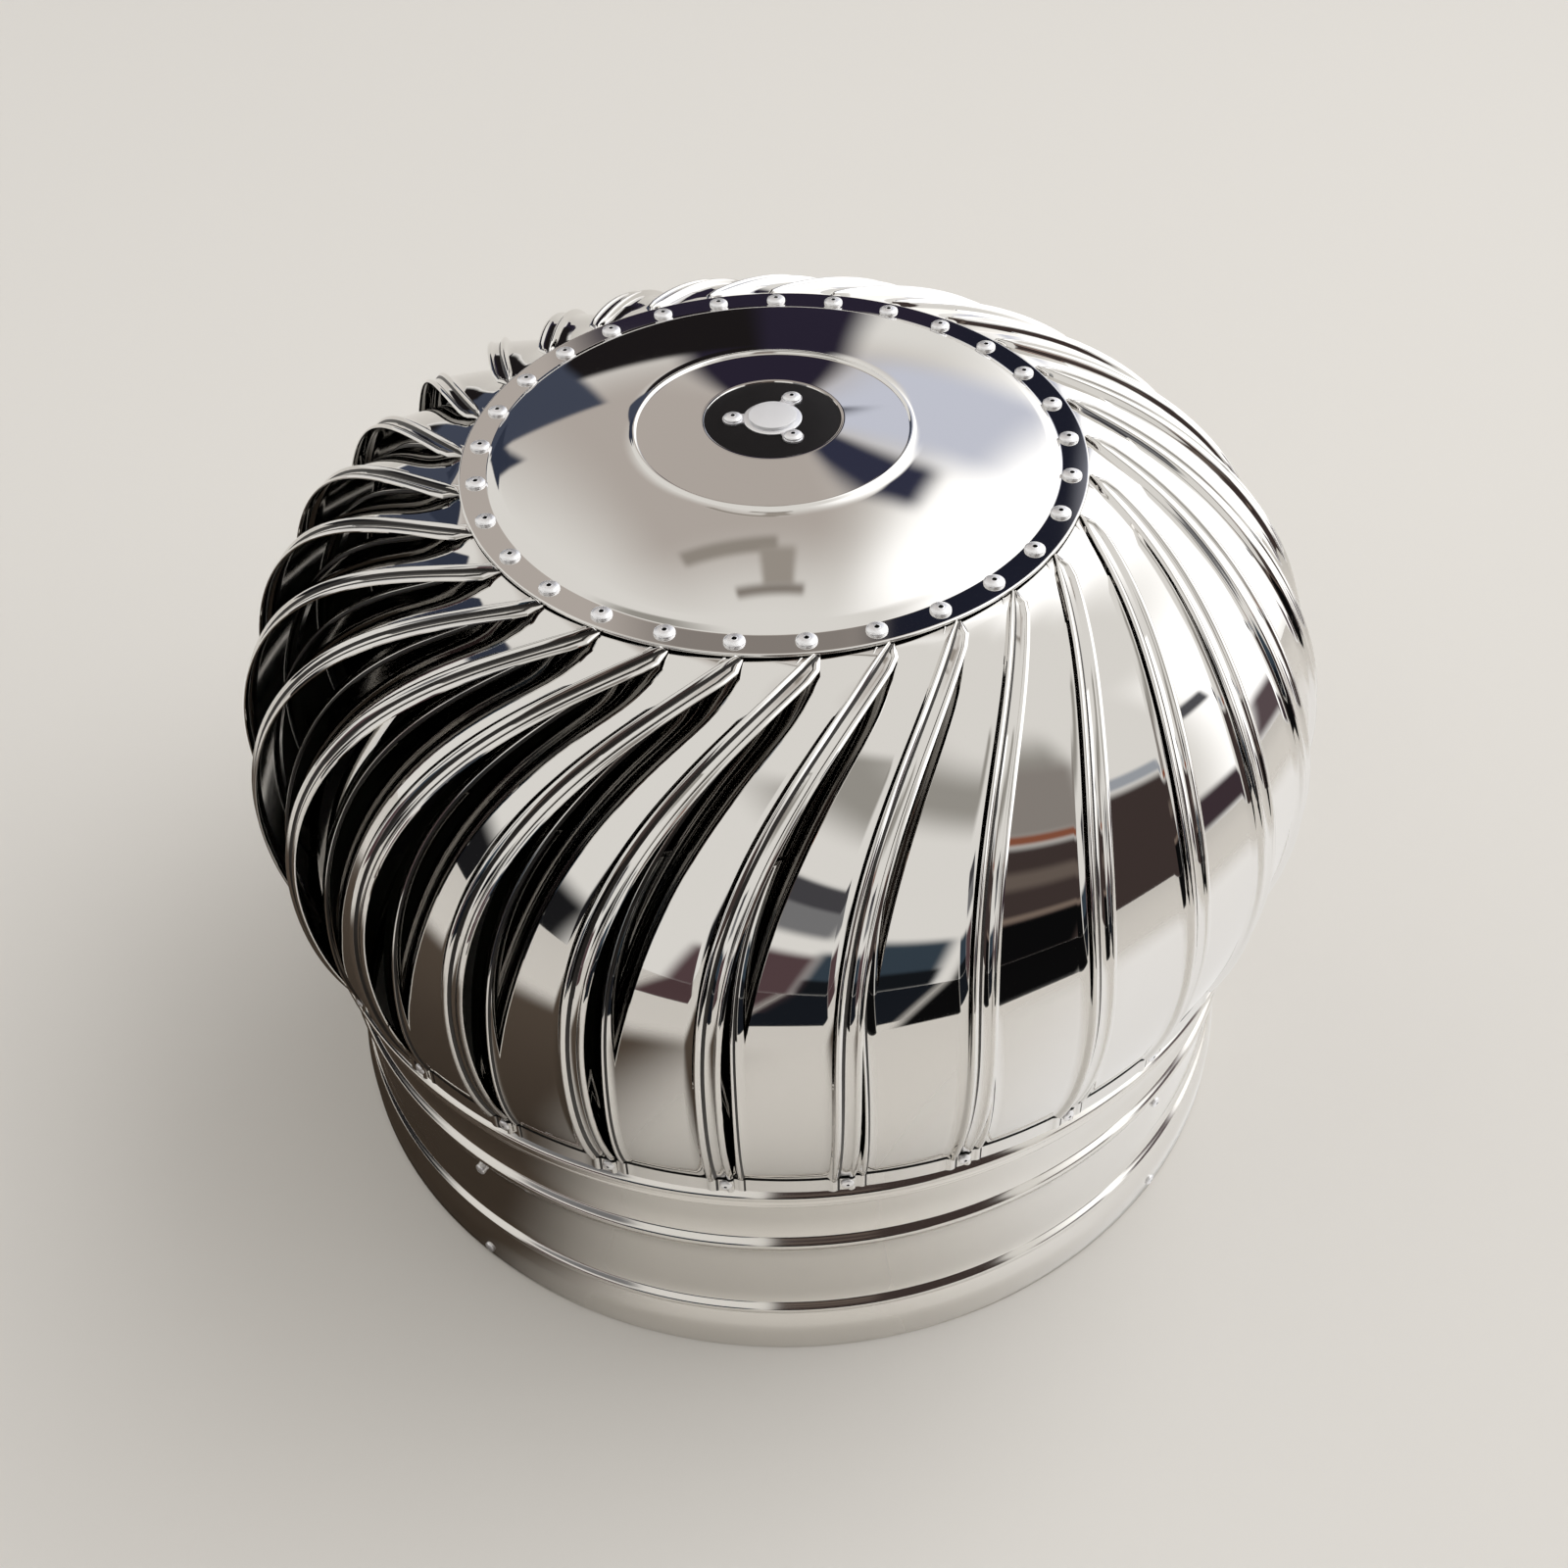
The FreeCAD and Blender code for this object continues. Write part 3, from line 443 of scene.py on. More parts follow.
def turned(name, profile, segments, finish, inside, sheet=0.0, back=None, smooth_angle=40.0):
    """A ring extruded and scaled along a profile, its faces looking away from a height inside."""
    radius, height = profile[0]
    select([])
    bpy.ops.mesh.primitive_circle_add(vertices=segments, radius=radius, location=(0, 0, height))
    piece = bpy.context.object
    edit(piece)
    for before, after in zip(profile, profile[1:]):
        bpy.ops.mesh.extrude_region_move(
            TRANSFORM_OT_translate={"value": (0, 0, after[1] - before[1])})
        change = after[0] / before[0]
        bpy.ops.transform.resize(value=(change, change, 1), center_override=(0, 0, after[1]))
    bpy.ops.mesh.select_all(action="SELECT")
    bpy.ops.mesh.remove_doubles(threshold=MERGE)
    leave_edit()
    settle(piece, name, *([finish, back] if back else [finish]))
    face_outwards(piece, inside)
    if sheet:
        add_sheet(piece, sheet, 1 if back else 0)
    smooth(piece, smooth_angle)
    return piece


def ridge(share):
    """The share of a bead's height at a share of its width."""
    return math.sin(math.pi * share) ** BEAD_POWER


def bead(height, rise, half, radius, steps=10):
    """A pressed bead in a (radius, height) profile, a round ridge between two flats."""
    shares = [step / steps for step in range(steps + 1)]
    return [(radius + rise * ridge(share), height + half * (2 * share - 1)) for share in shares]


def lip_line(vane, rounds):
    """Places along the lip line from foot to tip (radius, height, tilt, lean), and the way to each."""
    radius = vane.top_height - vane.belly_height
    centre = vane.belly_radius - radius
    rim = math.acos((rounds.cap_radius - centre) / radius)
    tip = math.acos((rounds.cap_radius - vane.tab - centre) / radius)
    rise = vane.belly_height - vane.crease_height
    bulge = vane.belly_radius - vane.foot_radius - vane.fold_step
    lower = (rise ** 2 + bulge ** 2) / (2 * bulge)
    tab_top = vane.crease_height - vane.fold_gap
    hollow = vane.foot_radius - vane.fold_depth
    places = []
    for step in range(TAB_ROWS + 1):
        height = vane.foot_height + (tab_top - vane.foot_height) * step / TAB_ROWS
        places.append((vane.foot_radius, height, 0.0, 0.0))
    places += [(hollow, tab_top + HAIR, 0.0, 0.0), (hollow, vane.crease_height - HAIR, 0.0, 0.0)]
    for step in range(LOWER_ROWS + 1):
        drop = rise * (1 - step / LOWER_ROWS)
        reach = vane.belly_radius - lower + math.sqrt(lower ** 2 - drop ** 2)
        places.append((reach, vane.belly_height - drop, -math.asin(drop / lower), 0.0))
    corner = CORNER_LENGTH / radius
    tilts = [(rim - corner) * step / UPPER_ROWS for step in range(1, UPPER_ROWS + 1)]
    tilts += [rim - corner * share for share in CORNER_ROWS]
    tilts += [rim + (tip - rim) * step / CAP_ROWS for step in range(1, CAP_ROWS + 1)]
    for tilt in tilts:
        lean = vane.lean * min(tilt / rim, 1.0) ** vane.lean_power
        places.append((centre + radius * math.cos(tilt), vane.belly_height + radius * math.sin(tilt),
                       tilt, lean))
    way = [0.0]
    for before, after in zip(places, places[1:]):
        way.append(way[-1] + math.hypot(after[0] - before[0], after[1] - before[1]))
    return places, way


def across_places(width, strip, half, fade, vane):
    """Places across a vane from its tucked edge to its lip: distance and rise above the panel."""
    inner = vane.tuck_strip - vane.inner_half
    spots = [(0.0, 0.0), (inner / 2, 0.0)]
    for step in range(INNER_STRIPS + 1):
        share = step / INNER_STRIPS
        spots.append((inner + 2 * vane.inner_half * share, fade * vane.inner_rise * ridge(share)))
    start = vane.tuck_strip + vane.inner_half
    outer = width - strip - half
    for step in range(1, PANEL_STRIPS):
        spots.append((start + (outer - start) * step / PANEL_STRIPS, 0.0))
    for step in range(OUTER_STRIPS + 1):
        share = step / OUTER_STRIPS
        spots.append((outer + 2 * half * share, fade * vane.bead_rise * ridge(share)))
    foot = outer + 2 * half
    hem = min(vane.hem_half, (width - foot) / 2.2)  # leaves a little flat where the strip is narrow
    start = width - 2 * hem
    spots.append((foot + (start - foot) / 2, 0.0))
    for step in range(HEM_STRIPS + 1):
        share = step / HEM_STRIPS
        rise = vane.hem_rise * hem / vane.hem_half * math.sin(math.pi * share)
        spots.append((start + 2 * hem * share, rise))
    spots.append((width - HAIR, -vane.sheet))
    return spots


def cylindrical(radius, azimuth, height):
    return Vector((radius * math.cos(azimuth), radius * math.sin(azimuth), height))


def vane_row(vane, place, way, crease_way, rim_way):
    """The vane's section at one place on its lip line, as points from tucked edge to lip."""
    reach, height, tilt, lean = place
    share = min(max((way - crease_way) / (rim_way - crease_way), 0.0), 1.0)
    swell = math.sin(math.pi * share)
    to_rim = max(rim_way - way, 0.0)
    step = (vane.top_step * (1 - math.exp(-(to_rim / vane.step_length) ** 2))
            * math.sin(math.pi * share / 2) ** 2)
    clip = min(to_rim / vane.clip_length, 1.0)
    fade = min(to_rim / vane.bead_fade, 1.0) if way >= crease_way else vane.tab_share
    half = vane.point_half + (vane.bead_half - vane.point_half) * clip
    point = vane.point_half + POINT_EDGE
    strip = point + (vane.lip_strip - point) * clip
    pitch = 2 * math.pi / vane.count
    margin = vane.lip_margin + vane.lip_growth * share ** vane.growth_power
    tuck_margin = vane.tuck_margin + vane.tuck_growth * share ** vane.tuck_growth_power
    lap = margin + tuck_margin
    clearance = (vane.sheet + LAP_GAP) * (lap + pitch * reach) / (pitch * reach)
    drop = clearance + step + vane.tuck * swell ** vane.tuck_power
    lip_azimuth = lean + (margin - vane.lip_strip + strip) / reach
    tuck_reach = reach - drop * math.cos(tilt)
    tuck_height = height - drop * math.sin(tilt)
    tuck_azimuth = lean - pitch - tuck_margin / tuck_reach
    tucked = cylindrical(tuck_reach, tuck_azimuth, tuck_height)
    lip = cylindrical(reach, lip_azimuth, height)
    width = (lip - tucked).length
    across = (lip - tucked).normalized()
    outward = cylindrical(math.cos(tilt), (lip_azimuth + tuck_azimuth) / 2, math.sin(tilt))
    outward = (outward - across * outward.dot(across)).normalized()
    crown = vane.crown * math.cos(tilt)
    points = []
    for along, rise in across_places(width, strip, half, fade, vane):
        part = min(along / width, 1.0)
        points.append(tucked + across * along + outward * (4 * crown * part * (1 - part) + rise))
    return points


def paint_fold_shade(blank, vane):
    """Paints the hollow under the panel's lower edge near-black, as painted shade."""
    blank.data.materials.append(material(painted_hollow_shade))
    finish = len(blank.data.materials) - 1
    low, high = vane.crease_height - vane.fold_gap - 3 * HAIR, vane.crease_height + HAIR
    for face in blank.data.polygons:
        reach = math.hypot(face.center.x, face.center.y)
        if low < face.center.z < high and reach < vane.foot_radius + 4 * HAIR:
            face.material_index = finish


def paint_bead_shade(blank, faces):
    """Paints the strips at the beads' feet nearly black, as painted shade beside each bead's highlight.
    """
    blank.data.materials.append(material(painted_bead_shade))
    finish = len(blank.data.materials) - 1
    for index in faces:
        blank.data.polygons[index].material_index = finish


class VENT_OT_vanes(bpy.types.Operator):
    """Presses one vane from a flat grid and repeats it round the rotor"""

    bl_idname = "vent.vanes"
    bl_label = "Vanes"

    def execute(self, context):
        vane = context.scene.vent_vane
        places, way = lip_line(vane, context.scene.vent_rounds)
        crease_way = way[TAB_ROWS + 3]
        rim_way = way[-CAP_ROWS - 1]
        rows = [vane_row(vane, place, so_far, crease_way, rim_way)
                for place, so_far in zip(places, way)]
        columns, lines = len(rows[0]) - 1, len(rows) - 1
        select([])
        bpy.ops.mesh.primitive_grid_add(x_subdivisions=columns, y_subdivisions=lines, size=2)
        blank = context.object
        # Faces at the beads' feet that get painted shade
        bead_shade_faces = [face.index for face in blank.data.polygons
                   if int((face.center.x + 1) / 2 * columns) in BEAD_SHADE_STRIPS]
        for vertex in blank.data.vertices:
            column = round((vertex.co.x + 1) / 2 * columns)
            line = round((vertex.co.y + 1) / 2 * lines)
            vertex.co = rows[line][column]
        settle(blank, "vane_blank", polished_stainless, mill_back_painted_shade)
        face_outwards(blank, GLOBE_MIDDLE)
        add_sheet(blank, vane.sheet, 1)
        paint_fold_shade(blank, vane)
        paint_bead_shade(blank, bead_shade_faces)
        smooth(blank, 50.0)
        for index in range(vane.count):
            piece = blank.copy()
            piece.data = blank.data.copy()
            piece.name = "pressed_vane_%02d" % (index + 1)
            context.scene.collection.objects.link(piece)
            turn = vane.phase + index * 2 * math.pi / vane.count
            piece.data.transform(Matrix.Rotation(turn, 4, "Z"))
            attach(piece, "rotor")
            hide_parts("vane_%02d" % (index + 1))
        bpy.data.objects.remove(blank)
        return {"FINISHED"}


class VENT_OT_cap(bpy.types.Operator):
    """Spins the domed cap with its flange, its raised circle and the hub's recess"""

    bl_idname = "vent.cap"
    bl_label = "Cap"

    def execute(self, context):
        rounds = context.scene.vent_rounds
        flange = rounds.flange_height
        recess = rounds.recess_radius
        circle = rounds.dome_circle
        inner = rounds.cap_radius - rounds.flange_width
        fillet = 0.0014     # width and height of the bend between flange and dome
        edge = 0.0009       # radius of the flange's rounded edge
        dome_steps = 14
        foot = inner - fillet
        bow = (foot ** 2 - recess ** 2) / (2 * (rounds.dome_rise - fillet))

        def dome(radius):
            return flange + rounds.dome_rise - (radius ** 2 - recess ** 2) / (2 * bow)

        rim = rounds.cap_radius - edge
        profile = [(rounds.cap_radius - 2 * HAIR, flange - 0.0014)]
        profile += arc((rim, flange - edge), edge, 0, 90, 4)
        # Points close to each bend keep the shading of the flat flange flat
        profile += [(rim - 0.0003, flange), (inner + 0.0009, flange), (inner + 0.0006, flange),
                    (inner, flange + 0.0002), (foot, flange + 0.0013)]
        for step in range(1, dome_steps + 1):
            radius = foot + (circle + 0.002 - foot) * step / dome_steps
            profile.append((radius, dome(radius)))
        for offset, lift in ((0.0010, 0.0003), (0.0003, 0.0006), (-0.0004, 0.0006), (-0.0010, 0.0002)):
            profile.append((circle + offset, dome(circle + offset) + lift))
        start, stop = circle - 0.0015, recess + 0.0008
        low, high = dome(start) - rounds.cone_lift, dome(stop) + rounds.cone_lift
        for share in (0.0, 0.03, 0.5, 0.97, 1.0):
            profile.append((start + (stop - start) * share, low + (high - low) * share))
        bottom = dome(recess) - rounds.recess_depth
        profile += [(recess, high - 0.0002), (recess - 0.0008, bottom), (rounds.hole_radius, bottom)]
        piece = turned("spun_cap", profile, rounds.segments, polished_stainless, 0.0,
                       rounds.sheet, mill_back_painted_shade, smooth_angle=35.0)
        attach(piece, "rotor")
        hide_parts("top_cap")
        return {"FINISHED"}


class VENT_OT_ring(bpy.types.Operator):
    """Rolls the rotor's lower ring with its bead and hem"""

    bl_idname = "vent.ring"
    bl_label = "Lower ring"

    def execute(self, context):
        rounds = context.scene.vent_rounds
        radius = rounds.ring_radius
        # From the hem up to the upper edge
        profile = [(radius + 0.0002, 0.1308), (radius + 0.0009, 0.1306), (radius + 0.0011, 0.1312),
                   (radius + 0.0007, 0.1322), (radius, 0.1336)]
        profile += bead(0.140, 0.0034, 0.0045, radius)
        profile += [(radius + 0.0004, 0.150), (radius + 0.001, 0.160)]
        piece = turned("rolled_ring", profile, rounds.segments, rolled_stainless, RING_MIDDLE,
                       rounds.sheet, mill_back_painted_shade)
        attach(piece, "rotor")
        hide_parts("lower_ring")
        return {"FINISHED"}


class VENT_OT_neck(bpy.types.Operator):
    """Rolls the throat with its skirt and two beads"""

    bl_idname = "vent.neck"
    bl_label = "Neck"

    def execute(self, context):
        rounds = context.scene.vent_rounds
        radius = rounds.neck_radius
        skirt = rounds.skirt_radius
        # From the skirt's rim up to the neck's upper edge
        profile = [(skirt - 0.0003, 0.0), (skirt, 0.0006), (skirt, 0.014), (skirt - 0.0003, 0.0165),
                   (skirt - 0.0014, 0.0195), (radius + 0.0016, 0.0235), (radius + 0.0006, 0.0258)]
        profile += bead(0.0315, 0.0036, 0.0048, radius)
        profile += [(radius, 0.045), (radius, 0.060), (radius, 0.075)]
        profile += bead(0.0906, 0.0036, 0.0048, radius)
        profile += [(radius, 0.110), (radius, 0.134)]
        piece = turned("rolled_neck", profile, rounds.segments, rolled_stainless, NECK_MIDDLE,
                       rounds.sheet, mill_back_painted_shade)
        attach(piece, "base")
        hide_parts("neck")
        return {"FINISHED"}


def rivet_head(radius, rise):
    """A blind rivet's domed head with the hollow that its mandrel leaves."""
    hole = radius * 0.23
    # All places are shares of the head's own radius and rise
    profile = [(radius * 0.98, 0.0), (radius, rise * 0.16), (radius * 0.985, rise * 0.30)]
    for degrees in range(14, 76, 6):
        turn = math.radians(degrees)
        profile.append((radius * math.cos(turn), rise * (0.28 + 0.72 * math.sin(turn))))
    profile += [(hole * 1.12, rise * 0.99), (hole, rise * 0.93), (hole * 0.95, rise * 0.1),
                (POLE, rise * 0.05)]
    head = turned("rivet_blank", profile, 40, bright_aluminium, -1.0, back=painted_hollow_shade,
                  smooth_angle=50.0)
    # The faces inside the mandrel's hollow get the painted shade
    for face in head.data.polygons:
        if math.hypot(face.center.x, face.center.y) < hole and face.center.z < rise * 0.94:
            face.material_index = 1
    return head


def rivet_group(name, blank, places, body, node):
    """Copies of one head, each with its own mesh, joined as one group."""
    heads = []
    for place in places:
        head = blank.copy()
        head.data = blank.data.copy()
        head.data.transform(place)
        bpy.context.scene.collection.objects.link(head)
        heads.append(head)
    group = join(heads, name)
    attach(group, body)
    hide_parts(node)


def upright(radius, azimuth, height):
    """The place of a rivet that points up."""
    return Matrix.Rotation(azimuth, 4, "Z") @ Matrix.Translation((radius, 0, height))


def sideways(radius, azimuth, height):
    """The place of a rivet that points away from the shaft."""
    return upright(radius, azimuth, height) @ Matrix.Rotation(math.radians(90), 4, "Y")


class VENT_OT_rivets(bpy.types.Operator):
    """Sets the blind rivets of the cap, the ring and the neck"""

    bl_idname = "vent.rivets"
    bl_label = "Rivets"

    def execute(self, context):
        vane = context.scene.vent_vane
        rounds = context.scene.vent_rounds
        rivets = context.scene.vent_rivets
        feet = [vane.phase + 2 * math.pi / vane.count * step for step in range(vane.count)]
        large = rivet_head(rivets.cap_head, rivets.cap_rise)
        places = [upright(rivets.cap_circle, foot + vane.lean, rounds.flange_height) for foot in feet]
        rivet_group("cap_rivet_heads", large, places, "rotor", "cap_rivets")
        bpy.data.objects.remove(large)
        small = rivet_head(rivets.small_head, rivets.small_rise)
        places = [sideways(vane.foot_radius + HAIR, foot, rivets.ring_height) for foot in feet]
        rivet_group("ring_rivet_heads", small, places, "rotor", "ring_rivets")
        round_neck = [rivets.neck_first + 2 * math.pi / rivets.neck_count * step
                      for step in range(rivets.neck_count)]
        places = [sideways(rounds.neck_radius, azimuth, rivets.neck_height) for azimuth in round_neck]
        places += [sideways(rounds.skirt_radius, azimuth, rivets.skirt_height) for azimuth in round_neck]
        rivet_group("neck_rivet_heads", small, places, "base", "neck_rivets")
        bpy.data.objects.remove(small)
        return {"FINISHED"}


def ear(hub, azimuth, low, high):
    """One flat ear of the hub, an arm with a round end."""
    middle, thickness = (low + high) / 2, high - low
    radius, pitch = hub.ear_radius, hub.ear_pitch
    select([])
    bpy.ops.mesh.primitive_cylinder_add(vertices=40, radius=radius, depth=thickness,
                                        location=(pitch, 0, middle))
    end = bpy.context.object
    bpy.ops.mesh.primitive_cube_add(size=1, location=(pitch / 2 + radius, 0, middle))
    arm = bpy.context.object
    # The arm is a little thinner than the end, so that no two of their faces coincide
    arm.scale = (pitch - 2 * radius, radius * 1.5, thickness * 0.98)
    for part in (end, arm):
        settle(part, "hub_ear", bright_aluminium)
        part.data.transform(Matrix.Rotation(azimuth, 4, "Z"))
    return [end, arm]


def square_ring(inner, outer, low, high):
    """The closed outline of a plain ring."""
    return [(outer, low), (outer, high), (inner, high), (inner, low), (outer, low)]


class VENT_OT_hub(bpy.types.Operator):
    """Turns the hub's low cover, its black disc, the bearing under it and the shaft"""

    bl_idname = "vent.hub"
    bl_label = "Hub"

    def execute(self, context):
        hub = context.scene.vent_hub
        rounds = context.scene.vent_rounds
        rivets = context.scene.vent_rivets
        seat = rounds.flange_height + rounds.dome_rise
        under = seat - rounds.recess_depth
        face = seat + HAIR      # the black disc's upper face
        high, top = face + hub.plate, seat + hub.boss_rise
        wide, hole = rounds.recess_radius - 0.0003, rounds.hole_radius
        disc = turned("hub_black_disc", [
            (wide, under), (wide, seat - HAIR), (wide - 0.0004, face), (hole, face), (hole, under),
            (wide, under)], 120, matte_black_disc, under)
        plate, boss = hub.flange_radius, hub.boss_radius
        cover = turned("hub_cover", [
            (POLE, face), (plate, face), (plate + HAIR, high - 0.0002), (plate - 0.0003, high),
            (POLE, high)], 96, bright_aluminium, face)
        dome = turned("hub_boss", [
            (POLE, high - HAIR), (boss - 0.0003, high - HAIR), (boss - 0.0003, high + 0.0003),
            (boss, high + 0.0006), (boss, top - 0.0004), (boss - 0.0002, top - HAIR),
            (boss - 0.0007, top), (boss * 0.5, top + 0.0003), (POLE, top + 0.0004)],
            96, bright_pressing, face)
        cup_top, flange_low = under - 0.0009, under - 0.0017
        cup_low = under - 0.002 - hub.bearing_width
        floor = cup_low + 0.001
        flange, wall = 0.016, hub.bearing_radius + 0.0002
        cup = turned("bearing_cup", [
            (flange, cup_top), (flange, flange_low), (wall + 0.001, flange_low),
            (wall + 0.001, cup_low), (0.0085, cup_low), (0.0085, floor), (wall, floor),
            (wall, cup_top), (flange, cup_top)], 72, bright_pressing, CUP_MIDDLE)
        ears = []
        heads = []
        blank = rivet_head(rivets.hub_head, rivets.hub_rise)
        for azimuth in (math.radians(180), math.radians(300), math.radians(60)):
            ears += ear(hub, azimuth, face, high)
            heads.append(upright(hub.ear_pitch, azimuth, high))
        cover = join([cover, dome, cup] + ears, "hub_cover")
        rivet_group("hub_rivet_heads", blank, heads, "rotor", "hub_rivets")
        bpy.data.objects.remove(blank)
        low = floor + HAIR
        end = low + hub.bearing_width
        race, tip, radius, groove = hub.race_radius, hub.tip_radius, hub.shaft_radius, hub.groove_height
        outer = turned("hub_bearing_outer", square_ring(race + 0.00005, hub.bearing_radius, low, end),
                       72, ground_steel, CUP_MIDDLE)
        inner = turned("hub_bearing_inner", square_ring(tip + HAIR, race, low, end),
                       72, ground_steel, CUP_MIDDLE)
        shaft = turned("turned_shaft", [
            (POLE, hub.shaft_foot), (radius - 0.0005, hub.shaft_foot),
            (radius, hub.shaft_foot + 0.0005), (radius, groove - HAIR), (radius - 0.0005, groove),
            (radius - 0.0005, groove + hub.groove_width), (radius, groove + hub.groove_width + HAIR),
            (radius, low - 2 * HAIR), (tip, low - HAIR), (tip, end - 0.0003), (tip - 0.0003, end),
            (POLE, end)], 48, ground_steel, SHAFT_MIDDLE)
        for piece, body, node, slot in (
                (disc, "rotor", "hub_pad", "gasket_rubber"),
                (cover, "rotor", "top_bearing_housing", "housing_steel"),
                (outer, "rotor", "top_bearing_outer_ring", "bearing_steel"),
                (inner, "base", "top_bearing_inner_ring", "bearing_steel"),
                (shaft, "base", "shaft", "shaft_steel")):
            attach(piece, body)
            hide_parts(node)
        return {"FINISHED"}


INNER_FINISHES = {
    bright_aluminium: ("lower_hub_rivets",),
    plated_steel: ("lower_bearing_housing", "lower_spider", "bracket_bar_lower", "bracket_bar_upper",
                   "shaft_nut_lower", "shaft_nut_upper", "shaft_washer_lower", "shaft_washer_upper"),
    ground_steel: ("shaft_circlip", "lower_bearing_inner_ring", "lower_bearing_outer_ring"),
}


class VENT_OT_inner_parts(bpy.types.Operator):
    """Finishes the parts inside that keep their solid shapes"""

    bl_idname = "vent.inner_parts"
    bl_label = "Inner parts"

    def execute(self, context):
        for finish, nodes in INNER_FINISHES.items():
            for node in nodes:
                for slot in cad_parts[node].material_slots:
                    slot.material = material(finish)
        return {"FINISHED"}


WINDOW_LIGHT = (1.6, 1.6, 1.6, 1.0)

# What stands round the studio, as azimuth, elevation, half width, half height and soft edge in
# degrees, and colour; each covers those before it
ROOM = [
    (20, 32, 50, 32, 9, WINDOW_LIGHT),  # large soft window to the right
    (-135, 66, 62, 9, 7, "#A09D97"),  # shaded ceiling over the camera
    (-83, 54, 12, 13, 4, "#8F8984"),  # grey wall behind the camera
    (96, 38, 20, 22, 8, "#BDB5AF"),  # beige back wall
    (-70, 18, 25, 21, 2, "#413735"),  # dark cupboards behind the camera
    (-83, 5, 12, 7, 1, "#0D0D0E"),  # black flag at their foot
    (-83, 13.5, 12, 1, 1, "#7C6D63"),  # worktop edge
    (-83, 27, 10, 3, 2, "#6A5F58"),  # shelf
    (-83, 41.5, 9, 1.5, 1, "#8A5540"),  # wooden rail
    (-55, 42.5, 8, 2, 1, "#A3A8B0"),  # pale rail
    (-112, 7, 13, 8, 2, "#36424D"),  # blue-black doorway
    (-112, 1, 13, 3, 1, "#16191D"),  # its shaded sill
    (-137, 29, 12, 9, 2, "#7B7B7D"),  # grey shelf to the left
    (-137, 34, 12, 4, 1, "#47464A"),  # its dark top
    (-137, 5, 12, 8, 2, "#574447"),  # red-brown chest
    (-30, 5, 9, 6, 2, "#40343A"),  # low dark chest
    (-30, 41, 6, 2, 1, "#55555A"),  # window bar
    (-6, 6, 8, 7, 3, "#5E5155"),  # low brown chest
    (91, 41, 5, 4, 2, "#8E8782"),  # grey picture rail
    (74, 27, 9, 10, 4, "#D3D7E6"),  # blue-white blind
    (82.5, 34.5, 4, 7, 1, "#20222F"),  # dark blue post
    (90.5, 12, 6.5, 19.5, 1.5, "#2B2636"),  # dark door
    (99, 7, 8, 8, 1, "#1E1B1C"),  # dark plinth
    (114, 11, 9, 12, 0.6, "#454B5B"),  # blue-grey cloth
    (119.5, 20, 4.5, 8, 0.6, "#343A4A"),  # its folded edge
    (174, 4, 17, 9, 4, "#1C1C1E"),  # dark left end of the room
    (99, 56.5, 9, 1.2, 0.8, "#9A938B"),  # lamp over the back wall
    (90, 60, 3.5, 3, 1, "#A39C94"),  # its stem
    (92, 63.5, 8, 0.8, 0.8, "#8C857E"),  # its shade
    (75.5, 43, 5.5, 4, 2, "#34364A"),  # dark shade by the window
]

# What lies on the floor for the metal to mirror, cloths and patches of painted floor shadow and light,
# as azimuth in degrees, distance in centimetres, half widths in the same, soft edge and colour
FLOOR_CLOTHS_AND_PAINTED_LIGHT = [
    (-80, 504, 16, 392, 2, "#0F0F10"),  # black cloth behind the camera
    (-111, 515, 15, 385, 2, "#1B1F26"),  # blue-black cloth beside it
    (-137, 545, 12, 355, 3, "#574447"),  # red-brown cloth
    (-160, 45, 42, 40, 16, "#584E45"),  # painted floor shadow on the shaded left, a brown patch
    (-25, 50, 45, 50, 25, "#FFFFFF"),  # painted pool of window light on the floor, a white patch
]

ROOM_WALLS = "#ECEAE6"

# The soft lamp's azimuth and elevation in degrees, its distance and side, and its watts
LAMP = (20.0, 55.0, 2.6, 1.8, 12.0)
LAMP_AIM = 0.25     # height of the globe's middle


def floor_cloths_and_painted_light():
    # Matte cloths and patches of painted floor shadow and light laid round the object, clear between
    # them.
    mirrored_floor_finish, tree, shader, place = new_material("floor_cloths_and_painted_light", roughness=0.9)
    parts = add_node(tree, "ShaderNodeSeparateXYZ", inputs={0: place}).outputs
    away = add_node(tree, "ShaderNodeVectorMath", {"operation": "LENGTH"}, {0: place}).outputs["Value"]
    centimetres = math_step(tree, "MULTIPLY", away, 100.0)
    colour, cover = patches(tree, azimuth_of(tree, parts), centimetres, FLOOR_CLOTHS_AND_PAINTED_LIGHT, chosen("floor"))
    tree.links.new(colour, shader.inputs["Base Color"])
    tree.links.new(cover, shader.inputs["Alpha"])
    shader.inputs["Specular IOR Level"].default_value = 0.0
    return mirrored_floor_finish


def azimuth_of(tree, parts):
    """The azimuth of a vector's parts in degrees."""
    return math_step(tree, "DEGREES", math_step(tree, "ARCTAN2", parts["Y"], parts["X"]))


def soft_edge(tree, offset, half, soft):
    """1 inside a band of half a width, 0 outside it, with a soft edge."""
    return add_node(tree, "ShaderNodeMapRange", {"interpolation_type": "SMOOTHSTEP"},
                    {"Value": math_step(tree, "ABSOLUTE", offset),
                     "From Min": half + soft, "From Max": half - soft}).outputs["Result"]


def patches(tree, azimuth, height, table, colour):
    """A base colour with soft-edged patches laid over it in turn, and how much they cover."""
    cover = 0.0
    for middle, level, half_width, half_height, soft, paint in table:
        aside = math_step(tree, "WRAP", math_step(tree, "SUBTRACT", azimuth, middle), 180, -180)
        above = math_step(tree, "SUBTRACT", height, level)
        share = math_step(tree, "MULTIPLY", soft_edge(tree, aside, half_width, soft),
                          soft_edge(tree, above, half_height, soft))
        colour = blend(tree, share, colour, paint if paint is WINDOW_LIGHT else linear(paint))
        cover = math_step(tree, "MAXIMUM", share, cover)
    return colour, cover


